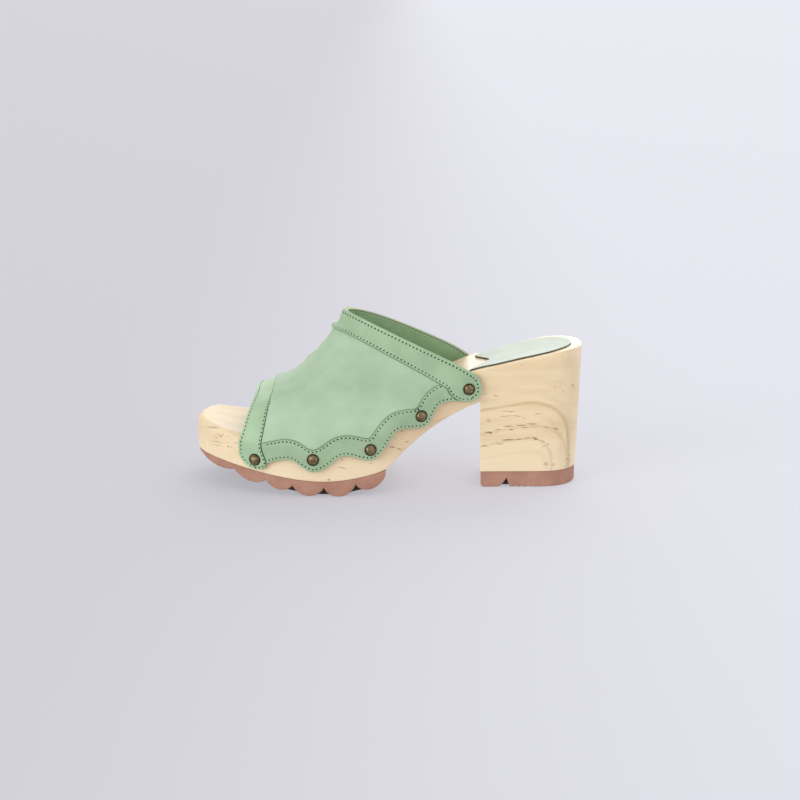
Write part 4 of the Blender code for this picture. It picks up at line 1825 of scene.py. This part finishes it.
@dataclass
class Vamp:
    """Soft nubuck vamp, open at toe, collar and underneath, puffed between the strips sewn over it."""

    form: ShoeForm
    sections: int = 200
    steps: int = 80
    tuck_reach: float = 1.6
    lining_share: float = 0.75
    crease_clear: float = 8.0
    ridge_sink: float = 1.6
    sink_from: float = 0.7
    sink_to: float = 1.35
    # Share of the ridge's sinking along the fan: base x, share
    sink_run: Table = (
        (42, 0.35), (52, 0.8), (70, 1.0), (80, 0.85), (88, 0.7), (95, 0.25), (101, 0.4), (108, 0.8),
        (118, 0.85), (128, 1.0), (140, 0.8), (153, 0.2),
    )
    # Foot of the vamp behind the rand and the bands: x, z
    foot: Table = (
        (29, 27.5), (33, 23.5), (44, 24.0), (57, 26.5), (72, 22.5), (90, 28.0), (106, 29.0),
        (118, 38.5), (126, 43.5), (137, 47.0), (146, 54.5), (156, 59.5), (164, 60.5), (169.3, 63.7),
    )
    # Soft creases seen from the side: start x, z, end x, z, half width, depth
    creases: Table = (
        (64.0, 38.0, 73.0, 55.0, 5.0, 0.35),
        (84.0, 46.0, 96.0, 62.0, 7.0, 0.3),
        (108.0, 56.0, 118.0, 72.0, 7.0, 0.35),
        (76.0, 60.0, 84.0, 74.0, 6.0, -0.3),
        (96.0, 42.0, 104.0, 54.0, 6.0, -0.3),
    )

    def grid(self, bands: Sequence[Band]) -> tuple[np.ndarray, np.ndarray, np.ndarray]:
        """Points of the last under the vamp.

        Args:
            bands: Toe band and collar band.

        Returns:
            Points from the outer foot over the ridge to the inner foot, and the base x and angle of each.
        """
        toe, collar = bands
        levels = np.linspace(0.0, 1.0, 8)[:-1]
        angles = quarter(self.steps)
        half = np.concatenate((np.zeros(len(levels)), angles))
        share = np.linspace(0.0, 1.0, self.sections)[:, None]
        points = {}
        bases = {}
        for side in Side:
            front = toe.front_at(half, side)
            bases[side] = front + (collar.rear_at(half) - front) * share
            foot_x = bases[side][:, :len(levels)]
            foot_z = Curve(self.foot)(foot_x)
            low = self.form.seen(foot_x, foot_z + (self.form.base_z(foot_x) - foot_z) * levels, side)
            above = self.form.section(bases[side][:, len(levels):], angles, side)
            points[side] = np.concatenate((low, above), axis=1)
        grid = join_sides(points)
        return grid, join_sides(bases), np.broadcast_to(there_and_back(half), grid.shape[:2])

    def surfaces(
        self, grid: np.ndarray, base_x: np.ndarray, angle: np.ndarray, bands: Sequence[Band], rand: Rand
    ) -> tuple[np.ndarray, np.ndarray]:
        """Lining and face of the vamp: flat under the strips, soft and full between them.

        Args:
            grid: Points of the last under the vamp.
            base_x: Where each point's section starts.
            angle: Angle of each point on its section.
            bands: Toe band and collar band.
            rand: Rand of one side; the other is its mirror image.

        Returns:
            How far the lining stands off the last, and the wall, at each point.
        """
        toe, collar = bands
        steps = quarter(self.steps)
        nearest = np.full(grid.shape[:2], np.inf)
        for side in Side:
            seams = (
                self.form.section(toe.rear_at(steps), steps, side),
                self.form.section(collar.front_at(steps), steps, side),
                Rand(self.form, side=side).top_line(),
            )
            for seam in seams:
                nearest = np.minimum(nearest, distance_to_line(grid, seam))
        under_toe = base_x <= toe.rear_at(angle)
        under_collar = base_x >= collar.front_at(angle)
        under_rand = grid[..., 2] <= rand.top_z(grid[..., 0])
        crease = np.zeros(grid.shape[:2])
        seen = grid * SIDE_VIEW
        for start_x, start_z, end_x, end_z, width, depth in self.creases:
            line = np.array(((start_x, 0.0, start_z), (end_x, 0.0, end_z)))
            crease += depth * np.exp(-(distance_to_line(seen, line) / width) ** 2)
        sink = self.ridge_sink * Curve(self.sink_run)(base_x)
        sink = sink * ease((angle - self.sink_from) / (self.sink_to - self.sink_from))
        free = self.form.vamp_puff - crease * ease(nearest / self.crease_clear) - sink
        tucked = self.form.vamp_puff * (1 - ease(nearest / self.tuck_reach))
        shift = np.where(under_rand, tucked, free)
        shift = np.where(under_toe, toe.press(angle, base_x) + tucked, shift)
        shift = np.where(under_collar, collar.press(angle, base_x) + tucked, shift)
        lining = np.minimum(shift, 0.0) * self.lining_share
        return lining, self.form.vamp_wall + shift - lining

    def build(self, finishes: Finishes, bands: Sequence[Band], rand: Rand) -> LeatherSheet:
        """Make the vamp.

        Args:
            finishes: Finishes in the order of Dye.
            bands: Toe band and collar band.
            rand: Rand of the outer side.

        Returns:
            The sheet, for the stitches.
        """
        grid, base_x, angle = self.grid(bands)
        sheet = LeatherSheet(grid, *self.surfaces(grid, base_x, angle, bands, rand))
        # The dark third strip of the lining at the rim is painted shade under the pale cut edge
        faces = SheetFaces(
            first_row=Dye.SOFT, last_row=Dye.PALE, first_column=Dye.PALE, last_column=Dye.PALE,
            rim=(Dye.PALE, Dye.PALE, Dye.EDGE),
        )
        sheet.lay(faces).make("nubuck_vamp", finishes, Slot.NUBUCK, ["vamp_upper"])
        return sheet


@dataclass
class Stitching:
    """Rows of stitches: dark discs that paint the shade in the needle holes, with thread sunk between them."""

    pitch: float = 2.4
    hole_radius: float = 0.57
    hole_rise: float = 0.05
    hole_sides: int = 10
    hole_taper: float = 0.8
    thread_radius: float = 0.27
    thread_share: float = 0.56
    thread_sides: int = 6
    # Thread from hole to hole: share of its length, share of its girth, rise
    thread_run: Table = (
        (-0.5, 0.35, -0.25), (-0.36, 0.85, -0.02), (0.0, 1.0, 0.06), (0.36, 0.85, -0.02),
        (0.5, 0.35, -0.25),
    )
    # Share of the inset that a place of the row keeps from the whole edge, so that corners do not loop
    corner_share: float = 0.93
    holes: Draft = field(default_factory=Draft)
    thread: Draft = field(default_factory=Draft)

    def inset_line(self, line: np.ndarray, inside: np.ndarray, inset: float) -> np.ndarray:
        """Line on the outer face at an even distance from an edge.

        Args:
            line: Points along the edge.
            inside: A point for each of them further in on the leather.
            inset: Distance from the edge.

        Returns:
            Points along the row.
        """
        inward = unit(inside - line)
        along = unit(np.gradient(line, axis=0))
        inward = unit(inward - along * (inward * along).sum(axis=1, keepdims=True))
        moved = line + inward * inset
        return moved[distance_to_line(moved, line) > inset * self.corner_share]

    @staticmethod
    def touch(skin: BVHTree, places: np.ndarray) -> tuple[np.ndarray, np.ndarray]:
        """Nearest points on the leather's face, and directions out of it."""
        hits = [skin.find_nearest(Vector(place)) for place in places]
        return np.array([hit[0] for hit in hits]), np.array([hit[1] for hit in hits])

    def sew(self, sheet: LeatherSheet, row: np.ndarray) -> None:
        """Sew one row along a line close to the leather.

        Args:
            sheet: Leather that carries the row.
            row: Points along the row.
        """
        skin = sheet.skin()
        spots, normals = self.touch(skin, resample(row, self.pitch))
        along = unit(np.gradient(spots, axis=0))
        self._punch(spots, normals, along, unit(np.cross(normals, along)))
        middle, out = self.touch(skin, (spots[:-1] + spots[1:]) / 2)
        self._lay_thread(middle, out, spots[1:] - spots[:-1])

    def _punch(self, spots: np.ndarray, normals: np.ndarray, along: np.ndarray, across: np.ndarray) -> None:
        """Add the dark discs that paint the shade in the holes.

        Args:
            spots: Places of the holes.
            normals: Directions out of the leather.
            along: Directions along the row.
            across: Directions across the row.
        """
        turns = circle(self.hole_sides)
        for spot, out, first, second in zip(spots, normals, along, across):
            ring = np.outer(np.cos(turns), first) + np.outer(np.sin(turns), second)
            ring = ring * self.hole_radius
            low = self.holes.add_points(spot + ring - out * self.hole_rise)
            high = self.holes.add_points(spot + ring * self.hole_taper + out * self.hole_rise)
            self.holes.add_quads(np.stack((low, high)), 0, wrap=True, flip=True)
            self.holes.add_face(high, 0)

    def _lay_thread(self, middle: np.ndarray, normals: np.ndarray, steps: np.ndarray) -> None:
        """Add the thread between the holes.

        Args:
            middle: Middle of each stitch.
            normals: Directions out of the leather.
            steps: From hole to hole.
        """
        turns = circle(self.thread_sides)
        for spot, out, step in zip(middle, normals, steps):
            along = step * self.thread_share
            side = unit(np.cross(out, step))
            ring = np.outer(np.cos(turns), side) + np.outer(np.sin(turns), out)
            rings = []
            for place, girth, rise in self.thread_run:
                rings.append(spot + along * place + out * rise + ring * self.thread_radius * girth)
            numbers = self.thread.add_points(np.array(rings))
            self.thread.add_quads(numbers, 0, wrap=True)
            self.thread.add_face(numbers[0], 0)
            self.thread.add_face(numbers[-1][::-1], 0)

    def build(self, hole_shade: Material, thread: Material, name: str) -> None:
        """Make the holes and the thread of the rows sewn so far, named by where they are."""
        self.holes.make(f"{name}_needle_holes", [hole_shade], Slot.LEATHER, turn_out=False)
        self.thread.make(f"{name}_thread", [thread], Slot.LEATHER)


@dataclass
class Studs:
    """Domed brass stud heads with a rim in darker brass that paints the shade and dark reflection of the
    skirt, five on each side.
    """

    form: ShoeForm
    radius: float = 3.65
    height: float = 2.2
    foot: float = 3.0
    sides: int = 40
    sharp: float = 50.0
    # Places seen from the side, toe to heel: x, z
    places: Table = ((38.6, 22.1), (72.5, 23.9), (105.9, 29.3), (135.8, 47.9), (164.7, 62.9))
    # Turned profile from the leather to the crown: share of the radius, share of the height, rim 1 or dome 0
    profile: Table = (
        (0.97, 0.0, 1), (1.0, 0.1, 1), (1.0, 0.24, 1), (0.965, 0.34, 1), (0.91, 0.37, 1),
        (0.86, 0.33, 1), (0.83, 0.32, 0), (0.8, 0.4, 0), (0.74, 0.54, 0), (0.64, 0.7, 0),
        (0.5, 0.84, 0), (0.34, 0.93, 0), (0.18, 0.985, 0), (0.05, 1.0, 0),
    )

    def build(self, rim: Material, dome: Material) -> None:
        """Make the studs.

        Args:
            rim: Finish of the rims, darker brass that paints their shade and dark reflection.
            dome: Finish of the domes.
        """
        for side in Side:
            for number, (x, z) in enumerate(self.places, 1):
                self._build_one(f"stud_{side.word}_{number}", x, z, side, [rim, dome])

    def _build_one(self, node: str, x: float, z: float, side: Side, finishes: Finishes) -> None:
        """Make one stud.

        Args:
            node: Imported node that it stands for.
            x: Place along the shoe.
            z: Height.
            side: Side of the shoe.
            finishes: Finishes of the rim and the dome.
        """
        around = self.form.seen(np.array((x, x - 1, x + 1, x, x)), np.array((z, z, z, z - 1, z + 1)), side)
        along = unit(around[2] - around[1])
        out = unit(np.cross(along, around[4] - around[3])) * -side.value
        up = unit(np.cross(out, along))
        foot = around[0] + out * self.foot
        turns = circle(self.sides)
        spokes = np.outer(np.cos(turns), along) + np.outer(np.sin(turns), up)
        rings = [
            foot + spokes * share * self.radius + out * (rise * self.height)
            for share, rise, _ in self.profile
        ]
        draft = Draft()
        numbers = draft.add_points(np.array(rings))
        for k in range(len(rings) - 1):
            draft.add_quads(numbers[k:k + 2], 0 if self.profile[k][2] else 1, wrap=True)
        draft.add_face(numbers[0], 0)
        draft.add_face(numbers[-1], 1)
        draft.make(f"domed_{node}", finishes, Slot.BRASS, [node], sharp=self.sharp)


@dataclass
class Upper:
    """Leather upper: vamp, bands, rands, stitches and studs."""

    form: ShoeForm
    lining_inset: float = 2.6
    lining_rows_in: int = 12
    end_columns: int = 14
    # Rows of a rand that show between the bands
    rand_shown: tuple[int, int] = (14, 250)
    # Rounded end of the collar band: drop below the base line, front x, rear x
    collar_end: Table = (
        (0, 151.5, 169.3), (3, 152.7, 171.4), (6, 154.4, 172.4), (9, 156.8, 172.8),
        (11.5, 159.4, 172.6), (13.3, 161.9, 171.6), (14.5, 165.0, 169.6), (14.9, 166.6, 168.2),
    )

    def __post_init__(self) -> None:
        """Cut the pieces."""
        self.toe = Band(self.form)
        self.collar = Band(
            self.form,
            name="collar_band",
            front_x=151.9,
            rear_x=171.0,
            inner_bow=0.0,
            seam=Edge.FRONT,
            ridge_extra=9.9,
            outer_power=3.0,
            inner_power=3.0,
            ridge_rise=((0, 0.4), (0.08, 0.1), (0.22, -1.5), (0.35, -1.8), (0.6, -1.1), (1, -0.4)),
            rise_from=0.75,
            rise_to=1.45,
            front_in=1.6,
            rear_in=2.2,
            # The front lip is partly edge paint, partly painted shade of the seam
            faces=SheetFaces(
                first_row=Dye.SEAM, last_row=Dye.PALE, first_column=Dye.SOFT, last_column=Dye.SOFT,
                first_row_lip=3,
            ),
            end=self.collar_end,
        )
        self.rands = {side: Rand(self.form, side=side) for side in Side}

    def build(self, finishes: Mapping[str, Material]) -> None:
        """Make and dress the upper.

        Args:
            finishes: Materials by name.
        """
        leather = [finishes[name] for name in ("leather", "lining", "edge", "soft_edge", "pale_edge", "seam")]
        nubuck = [finishes["nubuck"], *leather[1:Dye.SEAM]]
        vamp = Vamp(self.form).build(nubuck, (self.toe, self.collar), self.rands[Side.LATERAL])
        rows = Stitching()
        # The toe band takes the copy of the leather with painted light
        for band, face in ((self.toe, "lit_toe_leather"), (self.collar, "leather")):
            self._sew_band(rows, band.build([finishes[face], *leather[1:]], vamp), band)
        for rand in self.rands.values():
            self._sew_rand(rows, rand.build(leather, (self.toe, self.collar)), rand.stitch_in)
        rows.build(finishes["hole_shade"], finishes["thread"], "upper")
        self._sew_lining(vamp).build(finishes["hole_shade"], finishes["pale_thread"], "lining")
        Studs(self.form).build(finishes["rim"], finishes["brass"])

    def _sew_band(self, rows: Stitching, sheet: LeatherSheet, band: Band) -> None:
        """Sew a row along both edges of a band and round its ends.

        Args:
            rows: Stitching that takes the row.
            sheet: Leather of the band.
            band: The band, which gives the distance of the rows from its edges.
        """
        count = self.end_columns
        inside = sheet.outer[len(sheet.outer) // 2].copy()
        inside[:count] = inside[count]
        inside[-count:] = inside[-count - 1]
        for edge in Edge:
            inset = band.front_in if edge is Edge.FRONT else band.rear_in
            rows.sew(sheet, rows.inset_line(sheet.outer[edge.value], inside, inset))

    def _sew_rand(self, rows: Stitching, sheet: LeatherSheet, inset: float) -> None:
        """Sew a row along the lower and the upper edge of a rand, between the bands.

        Args:
            rows: Stitching that takes the rows.
            sheet: Leather of the rand.
            inset: Distance of the rows from the edges.
        """
        shown = sheet.outer[slice(*self.rand_shown)]
        middle = shown[:, shown.shape[1] // 2]
        for column in (0, -1):
            rows.sew(sheet, rows.inset_line(shown[:, column], middle, inset))

    def _sew_lining(self, vamp: LeatherSheet) -> Stitching:
        """Sew a row inside the collar.

        Args:
            vamp: Sheet of the vamp.

        Returns:
            The stitching.
        """
        rows = Stitching(hole_radius=0.22, thread_radius=0.26, thread_share=0.62)
        inside = LeatherSheet(vamp.inner[:, ::-1], 0.0, np.zeros(vamp.inner.shape[:2]))
        shown = inside.outer[:, self.end_columns:-self.end_columns]
        rows.sew(inside, rows.inset_line(shown[-1], shown[-self.lining_rows_in], self.lining_inset))
        return rows


@dataclass
class Studio:
    """Plain pale floor, soft light and the camera at the photograph's angle."""

    lens: float = 90.0
    sensor: float = 36.0
    aim: tuple[float, float, float] = (124.0, 0.0, 48.5)
    distance: float = 1229.0
    tilt: float = 13.0
    floor_radius: float = 16000.0
    floor_sides: int = 96
    ambient: float = 0.78
    ambient_tone: Tone = (248, 248, 255)
    # Wide light panels far away round the shoe: direction they stand in, spread in degrees, strength
    panels: Table = (
        (-1.0, -0.8, 0.3, 40.0, 1.3),
        (1.0, -0.8, 0.3, 40.0, 0.42),
        (0.3, 1.0, 0.55, 60.0, 1.5),
    )

    def build(self, floor: Material) -> None:
        """Set up floor, light and camera.

        Args:
            floor: Finish of the floor.
        """
        bpy.context.scene.view_settings.view_transform = "Standard"
        self._lay_floor(floor)
        self._light()
        self._place_camera()

    def _lay_floor(self, finish: Material) -> None:
        """Lay the floor.

        Args:
            finish: Finish of the floor.
        """
        turns = circle(self.floor_sides)
        rim = np.stack((np.cos(turns), np.sin(turns), np.zeros_like(turns)), axis=1) * self.floor_radius * MM
        mesh = bpy.data.meshes.new("floor")
        mesh.from_pydata(rim.tolist(), [], [list(range(self.floor_sides))])
        mesh.materials.append(finish)
        floor = bpy.data.objects.new("floor", mesh)
        bpy.context.scene.collection.objects.link(floor)

    def _light(self) -> None:
        """Set the light of the room and stand the light panels up."""
        scene = bpy.context.scene
        scene.world = bpy.data.worlds.new("room")
        scene.world.use_nodes = True
        room = scene.world.node_tree.nodes["Background"]
        room.inputs["Color"].default_value = tone(self.ambient_tone)
        room.inputs["Strength"].default_value = self.ambient
        for number, (x, y, z, width, strength) in enumerate(self.panels, 1):
            lamp = bpy.data.lights.new(f"panel_{number}", "SUN")
            lamp.angle = math.radians(width)
            lamp.energy = strength
            panel = bpy.data.objects.new(lamp.name, lamp)
            panel.location = Vector((x, y, z))
            panel.rotation_euler = Vector((-x, -y, -z)).to_track_quat("-Z", "Y").to_euler()
            scene.collection.objects.link(panel)

    def _place_camera(self) -> None:
        """Place the camera level with the toe and heel, looking a little down on the outer side."""
        data = bpy.data.cameras.new("camera")
        data.lens = self.lens
        data.sensor_width = self.sensor
        camera = bpy.data.objects.new("camera", data)
        tilt = math.radians(self.tilt)
        back = np.array((0.0, -math.cos(tilt), math.sin(tilt))) * self.distance
        camera.location = Vector((np.array(self.aim) + back - CENTRE) * MM)
        camera.rotation_euler = (math.pi / 2 - tilt, 0.0, 0.0)
        bpy.context.scene.collection.objects.link(camera)
        bpy.context.scene.camera = camera


def make_finishes() -> dict[str, Material]:
    """Make every finish of the shoe and its floor.

    Returns:
        Materials by name.
    """
    recipes = {
        "wood": PaleWood(),
        "rubber": SalmonRubber(),
        # Dark rubber on the tread undersides: painted shade in the notches and under the sole
        "shaded_underside_rubber": SalmonRubber("rubber in painted shade", (64, 42, 37), (44, 29, 26)),
        "nubuck": Nubuck(),
        "leather": GrainLeather(),
        # Lighter copy of the green leather for the toe band: painted light on the side that faces the left
        # lamp
        "lit_toe_leather": GrainLeather("green leather with painted light", (174, 202, 162), (158, 187, 148)),
        "lining": GrainLeather("green lining", (150, 184, 139), (130, 162, 118), 0.55, 0.9),
        "sock": GrainLeather("pale sock leather", (208, 216, 199), (195, 205, 187), 0.5, 0.8),
        # The dark edge finishes are edge paint and also paint the shade along seams and the collar's rim
        "edge": CutEdge(),
        "seam": CutEdge("seam edge and painted seam shade", (122, 152, 112), (96, 124, 88)),
        "soft_edge": CutEdge("soft cut edge", (150, 180, 138), (124, 154, 112)),
        "pale_edge": CutEdge("pale cut edge", (200, 209, 174), (176, 188, 148)),
        "sock_edge": CutEdge("olive cut edge", (88, 88, 64), (62, 64, 44)),
        # Near-black discs paint the shade inside the needle holes
        "hole_shade": CutEdge("needle holes", (8, 14, 8), (3, 6, 3), 0.05),
        "thread": CutEdge("green thread", (186, 212, 172), (166, 194, 152)),
        "pale_thread": CutEdge("pale thread", (176, 190, 148), (150, 168, 124)),
        "brass": AntiqueBrass(),
        # Darker copy of the brass for the rims: painted shade and dark reflection on the stud's skirt
        "rim": AntiqueBrass("brass rim in painted shade", (78, 66, 46), (46, 38, 27), 0.45),
        "floor": PaleFloor(),
    }
    return {name: recipe.make() for name, recipe in recipes.items()}


def main() -> None:
    """Build the shoe piece by piece, then its floor, light and camera."""
    logging.basicConfig(level=logging.INFO, format="%(message)s")
    log.info("packed nodes: %d", len(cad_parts))
    finishes = make_finishes()
    form = ShoeForm()
    WoodSole(form).build(finishes["wood"])
    treads = Treads(form)
    # The second finish is the dark rubber that paints the shade under the treads
    rubber = [finishes["rubber"], finishes["shaded_underside_rubber"]]
    treads.build_outsole(rubber)
    treads.build_lift(rubber)
    HeelSock(form).build(finishes["sock"], finishes["sock_edge"])
    Upper(form).build(finishes)
    Studio().build(finishes["floor"])


if __name__ == "__main__":
    main()
